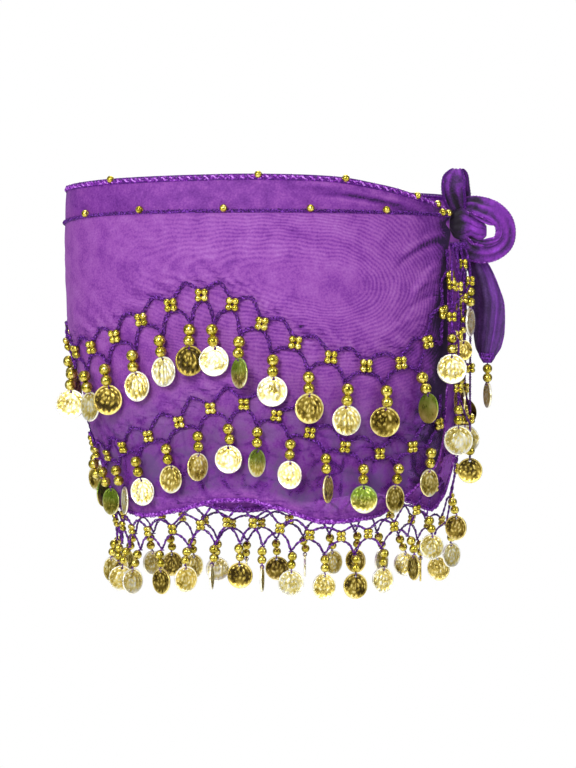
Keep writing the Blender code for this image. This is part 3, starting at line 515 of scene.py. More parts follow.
def makeChiffon(name, look):
    # thin polyester chiffon, plain weave of hard-twisted yarn: matt with a soft sheen at the
    # edges and see-through where one layer has light behind it. What differs from place to
    # place comes as the mesh's own numbers, and is zero on a mesh without them
    material, tree, shader, place = startMaterial(name)
    mark = {key: addNode(tree, "ShaderNodeAttribute", {"attribute_name": key}).outputs["Fac"]
            for key in ("shade", "patches", "moire", "moireShare", "seam", "across", "down")}
    blotch = addNode(tree, "ShaderNodeTexNoise", {
        "Scale": 1000.0 / look["blotchMm"], "Detail": 5.0, "Roughness": 0.62, "Distortion": 0.4,
        "Vector": place}).outputs["Fac"]
    centred = addNode(tree, "ShaderNodeMath", {
        "operation": "SUBTRACT", 0: blotch, 1: 0.5}).outputs[0]
    much = addNode(tree, "ShaderNodeMath", {
        "operation": "MULTIPLY_ADD", 0: mark["patches"], 1: 1.0, 2: look["blotchDepth"]}).outputs[0]
    tone = addNode(tree, "ShaderNodeMath", {
        "operation": "MULTIPLY_ADD", 0: centred, 1: much, 2: mark["shade"]}).outputs[0]
    arcs = addNode(tree, "ShaderNodeMath", {"operation": "SINE", 0: mark["moire"]}).outputs[0]
    arcs = addNode(tree, "ShaderNodeMath", {
        "operation": "MULTIPLY", 0: arcs, 1: mark["moireShare"]}).outputs[0]
    tone = addNode(tree, "ShaderNodeMath", {
        "operation": "MULTIPLY_ADD", 0: arcs, 1: look["moireDepth"], 2: tone}).outputs[0]
    weave = addNode(tree, "ShaderNodeTexNoise", {
        "Scale": 1000.0 / look["weaveMm"], "Detail": 1.0, "Roughness": 0.5,
        "Vector": place}).outputs["Fac"]
    tone = addNode(tree, "ShaderNodeMath", {
        "operation": "MULTIPLY_ADD", 0: weave, 1: look["weaveDepth"], 2: tone}).outputs[0]
    # short wrinkles along the sewn rows, drawn long across and thin down the cloth, as a bump and
    # as painted shade in them
    flat = addNode(tree, "ShaderNodeCombineXYZ", {0: mark["across"], 1: mark["down"]}).outputs[0]
    wrinkle = addNode(tree, "ShaderNodeTexNoise", {
        "Scale": 1.0, "Detail": 2.0, "Roughness": 0.5, "Distortion": 1.3,
        "Vector": flat}).outputs["Fac"]
    wrinkle = addNode(tree, "ShaderNodeMapRange", {
        "From Min": 0.54, "From Max": 0.72, "To Min": 0.0, "To Max": 1.0,
        "Value": wrinkle}).outputs[0]
    wrinkle = addNode(tree, "ShaderNodeMath", {
        "operation": "MULTIPLY", 0: wrinkle, 1: mark["seam"]}).outputs[0]
    tone = addNode(tree, "ShaderNodeMath", {
        "operation": "MULTIPLY_ADD", 0: wrinkle, 1: -look["paintedWrinkleShade"], 2: tone}).outputs[0]
    tone = addNode(tree, "ShaderNodeMath", {
        "operation": "ADD", 0: tone, 1: 0.5 - 0.5 * look["weaveDepth"]}).outputs[0]
    # the lower part is a single thin layer: the far side's lace is painted on it as a faint dark
    # net, a painted shadow and view of that lace through the cloth
    cells = addNode(tree, "ShaderNodeTexVoronoi", {
        "feature": "DISTANCE_TO_EDGE", "Scale": 1000.0 / look["farLaceShadowMm"], "Randomness": 0.8,
        "Vector": place}).outputs["Distance"]
    farLaceShadow = addNode(tree, "ShaderNodeMapRange", {
        "From Min": 0.02, "From Max": 0.09, "To Min": 1.0, "To Max": 0.0,
        "Value": cells}).outputs[0]
    farLaceShadow = addNode(tree, "ShaderNodeMath", {
        "operation": "MULTIPLY", 0: farLaceShadow, 1: mark["patches"]}).outputs[0]
    tone = addNode(tree, "ShaderNodeMath", {
        "operation": "MULTIPLY_ADD", 0: farLaceShadow, 1: -look["farLaceShadowDepth"], 2: tone}).outputs[0]
    colour = addNode(tree, "ShaderNodeValToRGB", {
        "stops": look["stops"], "Fac": tone}).outputs["Color"]
    # and it is greyer in patches
    thin = addNode(tree, "ShaderNodeMapRange", {
        "From Min": 0.44, "From Max": 0.6, "To Min": 0.05, "To Max": 0.85,
        "Value": blotch}).outputs[0]
    thin = addNode(tree, "ShaderNodeMath", {
        "operation": "MULTIPLY", 0: thin, 1: mark["patches"]}).outputs[0]
    colour = addNode(tree, "ShaderNodeMix", {
        "data_type": "RGBA", "blend_type": "MIX", 0: thin, 6: colour,
        7: toLinear(look["thin"])}).outputs[2]
    height = addNode(tree, "ShaderNodeMath", {
        "operation": "MULTIPLY_ADD", 0: wrinkle, 1: -1.5, 2: weave}).outputs[0]
    bump = addNode(tree, "ShaderNodeBump", {
        "Strength": 0.35, "Distance": 0.0006, "Height": height}).outputs["Normal"]
    for key, value in {"Roughness": 0.7, "Sheen Weight": 0.25, "Sheen Roughness": 0.4,
                       "IOR": 1.45}.items():
        shader.inputs[key].default_value = value
    shader.inputs["Sheen Tint"].default_value = toLinear("#E6B8F5")
    tree.links.new(colour, shader.inputs["Base Color"])
    tree.links.new(bump, shader.inputs["Normal"])
    glow = addNode(tree, "ShaderNodeBsdfTranslucent", {"Color": colour, "Normal": bump})
    clear = addNode(tree, "ShaderNodeBsdfTransparent", {"Color": toLinear("#DCA6EE")})
    soft = addNode(tree, "ShaderNodeMixShader", {
        "Fac": look["glow"], 1: shader.outputs[0], 2: glow.outputs[0]})
    share = addNode(tree, "ShaderNodeMath", {
        "operation": "MULTIPLY_ADD", 0: mark["patches"], 1: look["lowerSeeThrough"],
        2: look["seeThrough"]}).outputs[0]
    sheer = addNode(tree, "ShaderNodeMixShader", {
        "Fac": share, 1: soft.outputs[0], 2: clear.outputs[0]})
    tree.links.new(sheer.outputs[0], tree.nodes["Material Output"].inputs["Surface"])
    return material


# the fibres are far finer than a tenth of a millimetre, so bundles of them are drawn
threadLook = {"dark": "#22053A", "body": "#531678", "light": "#9A4CD6", "fibreMm": 1.3}
edgeThreadLook = {"dark": "#46106A", "body": "#8426AC", "light": "#D08CF0", "fibreMm": 1.6}


def makeThread(name, look):
    # twisted rayon crochet thread: smooth fibres that throw a narrow silky highlight
    material, tree, shader, place = startMaterial(name)
    fibre = addNode(tree, "ShaderNodeTexNoise", {
        "Scale": 1000.0 / look["fibreMm"], "Detail": 2.0, "Roughness": 0.6,
        "Vector": place}).outputs["Fac"]
    # lift is painted light where a loop stands up to the light and painted shade in a core
    lift = addNode(tree, "ShaderNodeAttribute", {"attribute_name": "lift"}).outputs["Fac"]
    tone = addNode(tree, "ShaderNodeMath", {"operation": "ADD", 0: fibre, 1: lift}).outputs[0]
    colour = addNode(tree, "ShaderNodeValToRGB", {
        "stops": [(0.36, look["dark"]), (0.52, look["body"]), (0.72, look["light"])],
        "Fac": tone}).outputs["Color"]
    bump = addNode(tree, "ShaderNodeBump", {
        "Strength": 0.5, "Distance": 0.0002,
        "Height": fibre}).outputs["Normal"]
    for key, value in {"Roughness": 0.5, "Specular IOR Level": 0.2, "IOR": 1.52}.items():
        shader.inputs[key].default_value = value
    tree.links.new(colour, shader.inputs["Base Color"])
    tree.links.new(bump, shader.inputs["Normal"])
    return material


# the places where the plating is thicker or thinner are this size, and over them the colour runs
# from a painted shade to a painted highlight
beadLook = {"bright": "#F8EE98", "body": "#C2AE38", "shade": "#5E5A0C", "wearAndShadeMm": 3.0}


def makeBeads(name, look):
    # acrylic beads with a vacuum-plated gold skin: mirror bright, a green cast in the shade; the
    # noise also paints them between a shade colour and a highlight colour
    material, tree, shader, place = startMaterial(name)
    wearAndShade = addNode(tree, "ShaderNodeTexNoise", {
        "Scale": 1000.0 / look["wearAndShadeMm"], "Detail": 3.0, "Roughness": 0.6,
        "Vector": place}).outputs["Fac"]
    colour = addNode(tree, "ShaderNodeValToRGB", {
        "stops": [(0.3, look["shade"]), (0.5, look["body"]), (0.72, look["bright"])],
        "Fac": wearAndShade}).outputs["Color"]
    rough = addNode(tree, "ShaderNodeMapRange", {
        "From Min": 0.3, "From Max": 0.7, "To Min": 0.17, "To Max": 0.3,
        "Value": wearAndShade}).outputs[0]
    shader.inputs["Metallic"].default_value = 0.84
    tree.links.new(colour, shader.inputs["Base Color"])
    tree.links.new(rough, shader.inputs["Roughness"])
    return material


coinLook = {
    "stops": [(0.0, "#42340C"), (0.14, "#76621E"), (0.28, "#9E8832"), (0.42, "#C2AA4E"),
              (0.56, "#E0CA6A"), (0.7, "#F2E292"), (0.84, "#FBF2BC"), (1.0, "#FFFCEA")],
    "scratchMm": 0.8,  # real scratches are about 0.1 mm wide; drawn coarser so that they show
    "patinaMm": 9.0, "reliefTone": 0.52, "green": "#6A9420",
}


def makeCoins(name, look):
    # stamped mild steel coins plated in pale gold: bright on the relief, browner in the hollows;
    # each coin has its own tone, from bronze through green gold to nearly white
    material, tree, shader, place = startMaterial(name)
    tone = addNode(tree, "ShaderNodeAttribute", {"attribute_name": "tone"}).outputs["Fac"]
    patina = addNode(tree, "ShaderNodeTexNoise", {
        "Scale": 1000.0 / look["patinaMm"], "Detail": 5.0, "Roughness": 0.65,
        "Vector": place}).outputs["Fac"]
    shift = addNode(tree, "ShaderNodeMapRange", {
        "From Min": 0.32, "From Max": 0.68, "To Min": -0.52, "To Max": 0.02,
        "Value": patina}).outputs[0]
    relief = addNode(tree, "ShaderNodeAttribute", {"attribute_name": "relief"}).outputs["Fac"]
    raised = addNode(tree, "ShaderNodeMath", {
        "operation": "MULTIPLY_ADD", 0: relief, 1: look["reliefTone"], 2: shift}).outputs[0]
    mixed = addNode(tree, "ShaderNodeMath", {
        "operation": "ADD", "use_clamp": True, 0: tone, 1: raised}).outputs[0]
    gold = addNode(tree, "ShaderNodeValToRGB", {
        "stops": look["stops"], "Fac": mixed}).outputs["Color"]
    green = addNode(tree, "ShaderNodeAttribute", {"attribute_name": "green"}).outputs["Fac"]
    colour = addNode(tree, "ShaderNodeMix", {
        "data_type": "RGBA", "blend_type": "MIX", 0: green, 6: gold,
        7: toLinear(look["green"])}).outputs[2]
    scratch = addNode(tree, "ShaderNodeTexNoise", {
        "Scale": 1000.0 / look["scratchMm"], "Detail": 3.0, "Roughness": 0.6,
        "Vector": place}).outputs["Fac"]
    bump = addNode(tree, "ShaderNodeBump", {
        "Strength": 0.35, "Distance": 0.0003,
        "Height": scratch}).outputs["Normal"]
    rough = addNode(tree, "ShaderNodeMapRange", {
        "From Min": 0.3, "From Max": 0.7, "To Min": 0.2, "To Max": 0.4,
        "Value": patina}).outputs[0]
    shader.inputs["Metallic"].default_value = 0.7
    tree.links.new(colour, shader.inputs["Base Color"])
    tree.links.new(bump, shader.inputs["Normal"])
    tree.links.new(rough, shader.inputs["Roughness"])
    return material


chiffon = makeChiffon("violetChiffon", chiffonLook)
# a darker, more saturated copy of the chiffon for the knot and bow: denser where it is gathered,
# and painted shade round the knot
gatheredShadedChiffon = makeChiffon("gatheredShadedVioletChiffon", {
    **chiffonLook, "blotchMm": 8.0, "blotchDepth": 0.9, "seeThrough": 0.03, "glow": 0.18,
    "stops": [(0.0, "#12041C"), (0.25, "#40145C"), (0.5, "#70229A"), (0.7, "#8A30B4"),
              (1.0, "#A04CE8")],
})
# a darker, greyer copy of the chiffon for the tail: painted shade, as it hangs behind the knot
shadedTailChiffon = makeChiffon("shadedTailVioletChiffon", {
    **chiffonLook, "blotchMm": 12.0, "blotchDepth": 0.7, "seeThrough": 0.14, "glow": 0.26,
    "stops": [(0.0, "#1A0B28"), (0.3, "#42265E"), (0.5, "#5E3C80"), (0.75, "#7C44A4"),
              (1.0, "#9450C4")],
})
thread = makeThread("violetCrochetThread", threadLook)
edgeThread = makeThread("brightVioletEdgeThread", edgeThreadLook)
giltBeads = makeBeads("goldPlatedBeads", beadLook)
giltCoins = makeCoins("goldPlatedCoins", coinLook)
print("materials made")


# the beaded chain lies on the lower edge of the doubled top, so the cloth reads its height
chainSizes = {
    "height": 0.8, "sideDrop": 3.8, "sideReach": 26.0, "thread": 0.5, "pitch": 5.6, "wind": 0.75,
    "cordUp": 0.5, "cordOut": 0.9, "coreDown": 0.7, "coreOut": 0.5,
    "beadRadius": 2.9, "beadUp": 2.0, "beadOut": 1.9,
    "beadAngles": (65.4, 60.7, 36.5, 13.3, -10.6, -36.0, -59.5, -104.0, -130.0, -152.0, -174.0,
                   -196.0, -217.0, -238.0, -256.0, -272.0),
}

clothSizes = {
    "columnMm": 2.8, "rows": 72, "wall": 0.3, "underTopEdging": 2.6, "moireMm": 2.5,
    "moirePlaces": ((19.0, -52.0, 88.0), (-176.0, -54.0, 84.0)),  # angle, height and reach
    "wrinkleMm": (12.0, 2.6),  # length and height of the short wrinkles along a sewn row
    "chainHalf": 1.4, "lowerStart": 105.0, "lowerFull": 195.0, "knotReach": 17.0,
    "seamReach": 9.0, "hemFold": (8.0, 5.5),
}

# how much paler or darker each place on the cloth is: the doubled top, the lower part and the hem
# fold by their layers; near and at the knot, under the upper row beside the knot and in the slit it
# is painted shade, and along the creases painted shade and light
clothTones = {
    "doubledTop": -0.13, "lowerPart": 0.02, "paintedKnotShade": -0.5, "paintedKnotCoreShade": -0.2, "paintedShadeBelowRow": -0.26,
    "hemFold": -0.1, "paintedCreaseShadeAndLight": -0.2, "slitShade": -0.34,
}


def giveWall(piece, thickness):
    wall = piece.modifiers.new("wall", "SOLIDIFY")
    wall.thickness = thickness * mm
    wall.offset = 0.0


def chainHeight(station):
    sway = np.exp(-((station - sideSeamAngle) / chainSizes["sideReach"]) ** 2)
    return chainSizes["height"] - chainSizes["sideDrop"] * sway


def moireArcs(angle, height):
    # the faint rings where the weave of the near and far layers cross, in front and behind
    arcs, share = 0.0, 0.0
    for atAngle, atHeight, reach in clothSizes["moirePlaces"]:
        away = (angle - atAngle + 180.0) % 360.0 - 180.0
        wide = away * 1.66 * np.where(away < 0.0, 0.3, 1.0)  # drawn out long on one side
        tilt = 0.12 * away - 0.23 * (np.hypot(away, 8.0) - 8.0)
        far = np.hypot(wide, height - atHeight + tilt)
        far = far + 1.8 * np.sin(away * 0.09 + height * 0.05)  # and they waver
        far = far + 0.9 * np.sin(height * 0.13 - away * 0.07)
        far = far + 0.5 * np.sin(away * 0.42 + height * 0.11)
        far = far + 0.35 * np.sin(away * 0.83 - height * 0.27)
        near = np.hypot(away * 1.5, height - atHeight) / reach
        arcs = arcs + np.where(near < 1.7, far, 0.0) * 2.0 * np.pi / clothSizes["moireMm"]
        share = np.maximum(share, np.exp(-near ** 4) * easeBetween(far, 6.0, 22.0))
    return arcs, share


def buildCloth():
    sizes = clothSizes
    angles = evenStations(sizes["columnMm"])
    t = np.linspace(0.0, 1.0, sizes["rows"] + 1)
    top = wrap["top"](angles)[:, None] - sizes["underTopEdging"]
    heights = top + (wrap["hem"](angles)[:, None] - top) * t
    around = stationAngle(angles[:, None], heights)
    points = clothPoint(around, heights, -0.5 * sizes["wall"])
    faces = gridFaces(*points.shape[:2])
    station = angles[:, None] + 0.0 * heights
    doubled = easeBetween(heights - chainHeight(station), -sizes["chainHalf"], sizes["chainHalf"])
    lower = easeBetween(-heights, sizes["lowerStart"], sizes["lowerFull"])
    # painted shade that deepens towards the knot
    paintedKnotShade = np.exp(-(knotDistance(around) / sizes["knotReach"]) ** 2)
    arcs, share = moireArcs(around, heights)
    seam = 0.0
    for name in ("upper", "middle", "hem"):
        away = heights - wrap[name](station) + 1.0
        seam = seam + np.exp(-(away / sizes["seamReach"]) ** 2)
    hemFold = easeBetween(heights - wrap["hem"](station), *sizes["hemFold"])
    # painted shade under the creases and painted light on their upper sides, as if lit from above;
    # painted shade also near and at the knot, under the upper row beside the knot and in the slit
    lean = softFolds(around, heights + 1.0) - softFolds(around, heights - 1.0)
    shadeBelowRowMask = easeBetween(wrap["upper"](station) - heights, -1.0, 7.0)
    tones = clothTones
    shade = tones["doubledTop"] * doubled + tones["lowerPart"] * lower
    shade = shade + tones["paintedKnotShade"] * paintedKnotShade + tones["hemFold"] * hemFold
    shade = shade + tones["paintedCreaseShadeAndLight"] * lean
    shade = shade + tones["slitShade"] * easeBetween(around, -250.0, -275.0)
    shade = shade + tones["paintedKnotCoreShade"] * np.exp(-(knotDistance(around) / 8.0) ** 2)
    shade = shade + tones["paintedShadeBelowRow"] * shadeBelowRowMask * np.exp(-(knotDistance(around) / 25.0) ** 2)
    marks = {
        "shade": shade, "patches": lower * (1.0 - hemFold), "moire": arcs,
        "moireShare": share * (1.0 - doubled) * (1.0 - 0.6 * lower),
        "seam": seam * (1.0 - doubled),
        "across": around * drawnMmPerDegree / sizes["wrinkleMm"][0],
        "down": heights / sizes["wrinkleMm"][1] + 0.05 * around,
    }
    piece = makePiece("chiffon_wrap", [(points.reshape(-1, 3), faces)], chiffon,
                      ("wrap_front", "wrap_back"), marks)
    giveWall(piece, sizes["wall"])
    columns = np.diff(points, axis=0)
    rows = np.diff(points, axis=1)
    area = np.linalg.norm(np.cross(columns[:, :-1], rows[:-1]), axis=-1).sum()
    print(f"cloth area {area * 1e-6:.4f} square metres")
    return piece, area * 1e-6


clothPiece, clothArea = buildCloth()


def edgeLine(heightOf, out, pitch=1.2):
    # a line round the cloth at a height of each station, with the outward directions
    angles = evenStations(pitch)
    heights = heightOf(angles)
    around = stationAngle(angles, heights)
    points = clothPoint(around, heights, out)
    return points, clothPoint(around, heights, out + 1.0) - points


def sewnBeads(sizes, heightOf):
    # one bead at each angle, its thread hole along the edge it is sewn to
    form = bead(sizes["beadRadius"], "edge")
    beads = []
    for angle in sizes["beadAngles"]:
        height = float(heightOf(angle)) + sizes["beadUp"]
        centre = clothPoint(angle, height, sizes["beadOut"])
        outward = unit(clothPoint(angle, height, sizes["beadOut"] + 1.0) - centre)
        along = unit(np.cross([0.0, 0.0, 1.0], outward))
        beads.append(placed(form, centre, np.cross(along, outward), outward, along))
    return beads


topEdgeSizes = {
    "thread": 0.32, "pitch": 3.9, "lap": 1.6, "halfHeight": 1.9, "halfDepth": 0.5,
    "braidDrop": 2.4, "braidOut": 0.3, "braidThread": 0.66, "braidWind": 0.95, "braidPitch": 6.4,
    "cores": ((0.6, 0.6, -0.3), (2.2, 1.1, -0.5), (4.1, 0.7, -0.2)),  # drop, radius and out
    # the lift values paint light and shade: one braid ply paler, the other, the stitches and the
    # three cores darker
    "lift": (0.09, -0.07, -0.02, -0.24, -0.18, -0.14),
    "beadRadius": 2.8, "beadUp": -0.7, "beadOut": 0.8,
    "beadAngles": (60.5, 49.4, 24.0, -1.1, -48.3, -104.0, -131.0, -160.0, -196.0, -226.0, -251.0,
                   -270.0),
}


def buildTopEdge():
    sizes = topEdgeSizes
    path, outs = edgeLine(lambda s: wrap["top"](s) - sizes["braidDrop"], sizes["braidOut"])
    parts = twistedCord(path, outs, sizes["braidThread"], sizes["braidWind"], sizes["braidPitch"])
    parts.append(crochetStitches(path, outs, sizes["thread"], sizes["pitch"], sizes["lap"],
                                 sizes["halfHeight"], sizes["halfDepth"]))
    for drop, radius, out in sizes["cores"]:
        path, outs = edgeLine(lambda s, d=drop: wrap["top"](s) - d, out)
        parts.append(tube(path, radius, outs, 6))
    makePiece("crocheted_top_edge", parts, edgeThread, ("top_edging",),
              {"lift": sizes["lift"]})
    return sewnBeads(sizes, wrap["top"])


edgeBeads = buildTopEdge()

hemEdgeSizes = {
    "thread": 0.52, "pitch": 3.8, "lap": 1.9, "halfHeight": 1.35, "halfDepth": 0.5,
    "core": 0.85, "away": 1.1, "out": -0.35, "cordAway": -0.2, "cordThread": 0.45, "cordWind": 0.42,
    "cordPitch": 2.9,
}


def hemLine(away, out):
    # a line that follows the hem and the two edges of the slit, a little outside the cloth
    angles = evenStations(1.2)
    points = list(zip(wrap["hemAngle"](angles), wrap["hem"](angles)))
    places = []
    for k, point in enumerate(points):
        ax, ay = mapStep(points[max(k - 1, 0)], points[min(k + 1, len(points) - 1)])
        places.append(shifted(point, -ay * away, ax * away))
    places = np.array(places)
    line = clothPoint(places[:, 0], places[:, 1], out)
    return line, clothPoint(places[:, 0], places[:, 1], out + 1.0) - line


def buildHemEdge():
    sizes = hemEdgeSizes
    path, outs = hemLine(sizes["away"], sizes["out"])
    parts = [crochetStitches(path, outs, sizes["thread"], sizes["pitch"], sizes["lap"],
                             sizes["halfHeight"], sizes["halfDepth"])]
    parts.append(tube(path, sizes["core"], outs, 5))
    path, outs = hemLine(sizes["cordAway"], sizes["out"])
    parts += twistedCord(path, outs, sizes["cordThread"], sizes["cordWind"], sizes["cordPitch"])
    makePiece("crocheted_hem_edge", parts, edgeThread, ("hem_edging",))


buildHemEdge()


def buildChain():
    sizes = chainSizes
    path, outs = edgeLine(lambda s: chainHeight(s) + sizes["cordUp"], sizes["cordOut"])
    parts = twistedCord(path, outs, sizes["thread"], sizes["wind"], sizes["pitch"], fuzz=0.35)
    path, outs = edgeLine(lambda s: chainHeight(s) - sizes["coreDown"], sizes["coreOut"])
    parts.append(tube(path, sizes["thread"], outs, 5))
    makePiece("tie_line_chain", parts, thread, ("beaded_chain",))
    return sewnBeads(sizes, chainHeight)


edgeBeads += buildChain()
makePiece("edge_beads", edgeBeads, giltBeads)


# what the three rows of coin lace share: how far they stand off the cloth, how close to the knot
# coins hang, how much of a drop is square to its row, and their threads; sway is how far aside
# the two beads and the coin may hang, lean how far a bead leans, and coinTilt is in degrees
laceSizes = {
    "lift": 1.0, "pendantGap": 0.9, "fanWidth": 27.0, "squareShare": 0.6, "cordOut": 2.0,
    "cordPitch": 8.8, "stitchPitch": 4.4, "stitchLap": 1.8, "stitchDepth": 0.6,
    "clusterThread": 0.45, "pendantThread": 0.5, "coinLoop": (1.35, 0.36), "netLoop": (1.1, 0.42),
    "coinThickness": 0.7, "hookInset": 0.9, "sway": (0.6, 0.9, 0.8), "lean": 0.12, "coinTilt": 7.0,
    "beadSwell": 1.07, "secondBead": 0.96,
}

# each row's sewn line, its net and its pendants; a coin's tone runs from bronze 0 to white 1,
# and 2 more means a green cast
laceRows = {
    "upper": {
        "arch": 1.6, "cord": 0.52, "wind": 1.05, "loops": 0.3,
        "start": 61.0, "end": -276.5, "pitch": 26.3, "peakDrop": 0.0, "drop": 10.0,
        "crestDrop": 11.5, "arm": 19.8, "leastDrop": 9.5, "clusterHalf": 4.6,
        "beadRadius": 4.2, "beadOneDrop": 5.8, "beadTwoDrop": 13.8, "coinRadius": 11.0,
        "coinDrop": 28.2, "nearLimit": -98.0, "farLimit": -104.0,
        "turns": [-78, 30, 4, -8, 6, 52, -4, -44, 8, -6, -36, -17, -74, 12, -50],
        "tones": [2.62, 0.36, 0.76, 0.42, 0.86, 2.55, 1.0, 0.24, 0.92, 0.8, 0.3, 0.8, 0.88, 0.6,
                  0.4],
    },
    "middle": {
        "arch": 1.5, "cord": 0.5, "wind": 0.95, "loops": 0.28,
        "start": 54.8, "end": -274.5, "pitch": 26.6, "peakDrop": 0.0, "drop": 10.5,
        "crestDrop": 12.5, "arm": 16.2, "leastDrop": 8.0, "clusterHalf": 4.1,
        "beadRadius": 3.8, "beadOneDrop": 5.6, "beadTwoDrop": 13.0, "coinRadius": 10.2,
        "coinDrop": 27.6, "nearLimit": -140.0, "farLimit": -176.5,
        "turns": [8, -5, 46, -52, 40, -56, 4, -66, 5, -14, 16, -24, 22, -58, -56],
        "tones": [0.6, 0.5, 2.6, 0.48, 0.86, 2.66, 0.84, 0.6, 0.56, 0.94, 0.9, 2.5, 2.4, 0.5, 0.8],
    },
    "hem": {
        "arch": 1.3, "cord": 0.52, "wind": 0.5, "loops": 0.24,
        "start": 54.7, "end": -274.0, "pitch": 21.4, "peakDrop": 5.0, "drop": 11.5,
        "crestDrop": 17.0, "arm": 17.2, "leastDrop": 9.0, "clusterHalf": 3.5,
        "beadRadius": 3.2, "beadOneDrop": 4.6, "beadTwoDrop": 10.6, "coinRadius": 9.4,
        "coinDrop": 24.0, "nearLimit": -190.0, "farLimit": -185.0,
        "turns": [46, -62, 5, 8, -10, 3, -84, 4, 78, -62, 5, 84, -78, 32, -46],
        "tones": [0.85, 0.4, 0.8, 0.36, 0.7, 0.9, 0.6, 0.3, 0.76, 0.7, 0.32, 0.88, 0.8, 0.3, 0.6],
    },
}


def rowCord(name, row):
    count = int((row["start"] - row["end"]) / 0.5)
    at = row["start"] + (row["end"] - row["start"]) * np.arange(count + 1) / count
    heights = wrap[name](at)
    angles = stationAngle(at, heights)
    points = hipPoint(angles, heights, 0.0)
    lengths = np.concatenate([[0.0], np.cumsum(np.linalg.norm(np.diff(points, axis=0), axis=1))])
    return lengths, angles, heights


def cellLayout(name, row):
    # places of one row: cord peaks, bead clusters with their hanging directions, net points
    lengths, angles, heights = rowCord(name, row)

    def read(distance):
        return tuple(float(np.interp(distance, lengths, values)) for values in (angles, heights))

    def hang(distance):
        reach = 0.5 * row["pitch"]
        ax, ay = mapStep(read(max(distance - reach, 0.0)), read(min(distance + reach, lengths[-1])))
        square = laceSizes["squareShare"]
        x, y = -ay * square, ax * square - (1.0 - square)
        size = math.hypot(x, y)
        return x / size, y / size

    column = stationColumns.index(name)
    high, low = freeStations[:, column].max(), freeStations[:, column].min()
    cells = int(lengths[-1] / row["pitch"])
    pitch = lengths[-1] / cells
    peaks = []
    for k in range(cells + 1):
        way = hang(pitch * k)
        peaks.append(shifted(read(pitch * k), way[0] * row["peakDrop"], way[1] * row["peakDrop"]))
    clusters = []
    for k in range(cells):
        base, way = read(pitch * (k + 0.5)), hang(pitch * (k + 0.5))
        share = min(max((base[1] - low) / (high - low), 0.0), 1.0)
        share *= float(easeBetween(knotDistance(base[0]), 6.0, laceSizes["fanWidth"]))
        drop = row["drop"] + (row["crestDrop"] - row["drop"]) * share
        clusters.append((shifted(base, way[0] * drop, way[1] * drop), way))
    nodes = []
    for k in range(cells + 1):
        way = hang(pitch * k)
        nodeDrop = row["leastDrop"]
        if 0 < k < cells:
            before, after = clusters[k - 1][0], clusters[k][0]
            middle = (0.5 * (before[0] + after[0]), 0.5 * (before[1] + after[1]))
            spread = 0.5 * np.linalg.norm(hipPoint(*after, 0.0) - hipPoint(*before, 0.0))
            if spread < row["arm"]:
                nodeDrop = max(nodeDrop, math.sqrt(row["arm"] ** 2 - spread ** 2))
        else:
            middle = shifted(peaks[k], way[0] * row["clusterHalf"], way[1] * row["clusterHalf"])
        nodes.append(shifted(middle, way[0] * nodeDrop, way[1] * nodeDrop))
    return peaks, clusters, nodes


def carriesCoin(row, node):
    limit = row["nearLimit"] if node[0] > sideSeamAngle else row["farLimit"]
    return float(knotDistance(node[0])) > laceSizes["fanWidth"] or node[1] < limit


def onCloth(places, out):
    places = np.array(places)
    points = clothPoint(places[:, 0], places[:, 1], out)
    return points, clothPoint(places[:, 0], places[:, 1], np.asarray(out) + 1.0) - points


def hangingCoin(parts, tones, centre, side, outward, radius, turn, tilt, tone, kind, free=True):
    # one coin in its own turn and tilt, hung from the thread over it; a green one is greenest
    # at its upper side
    a, b = math.radians(turn), math.radians(tilt)
    wide = side * math.cos(a) + outward * math.sin(a)
    deep = outward * math.cos(a) - side * math.sin(a)
    up = np.array([0.0, 0.0, 1.0]) * math.cos(b) + wide * math.sin(b)
    wide = wide * math.cos(b) - np.array([0.0, 0.0, 1.0]) * math.sin(b)
    points, faces, relief = coin(radius, laceSizes["coinThickness"], kind, free)
    parts.append(placed((points, faces), centre, wide, deep, up))
    green = 0.82 * (tone > 1.5) * (0.28 + 0.72 * easeBetween(points[:, 2] / radius, -0.4, 0.4))
    tones.append((np.full(len(points), tone % 2.0), relief, green))
    return wide, deep, up


def coinValues(tones):
    return {name: np.concatenate([values[k] for values in tones])
            for k, name in enumerate(("tone", "relief", "green"))}


def threadLoop(centre, x, y, radius, thickness):
    turn = np.linspace(0.0, 2.0 * np.pi, 13)
    points = np.asarray(centre) + radius * (np.cos(turn)[:, None] * x + np.sin(turn)[:, None] * y)
    return tube(points, thickness, np.cross(x, y), 4)


def laceNet(row, peaks, clusters, nodes):
    # the upper and lower cord of a row with their crochet stitches: each arm arches, level at the
    # cluster and steep at the place it hangs from or carries
    half = row["clusterHalf"]
    upper, lower = [peaks[0]], [nodes[0]]
    for k, (point, way) in enumerate(clusters):
        along = (way[1], -way[0])
        for sign, line, last in ((-1.0, upper, peaks[k + 1]), (1.0, lower, nodes[k + 1])):
            seat = shifted(point, way[0] * half * sign, way[1] * half * sign)
            ends = [shifted(seat, along[0] * side, along[1] * side)
                    for side in (-0.55 * half, 0.55 * half)]
            lift = row["arch"] if sign > 0 else 0.6 * row["arch"]
            before = shifted(((line[-1][0] + ends[0][0]) / 2, (line[-1][1] + ends[0][1]) / 2),
                             -along[0] * 0.5 * lift, lift)
            after = shifted(((last[0] + ends[1][0]) / 2, (last[1] + ends[1][1]) / 2),
                            along[0] * 0.5 * lift, lift)
            line += [before, *ends, after, last]
    threads = []
    for line in (upper, lower):
        path, outs = onCloth(rounded(line, 7), laceSizes["cordOut"])
        threads += twistedCord(path, outs, row["cord"], row["wind"], laceSizes["cordPitch"],
                               fuzz=0.3)
        threads.append(crochetStitches(path, outs, row["loops"], laceSizes["stitchPitch"],
                                       laceSizes["stitchLap"], 1.2 * row["wind"],
                                       laceSizes["stitchDepth"]))
    return threads


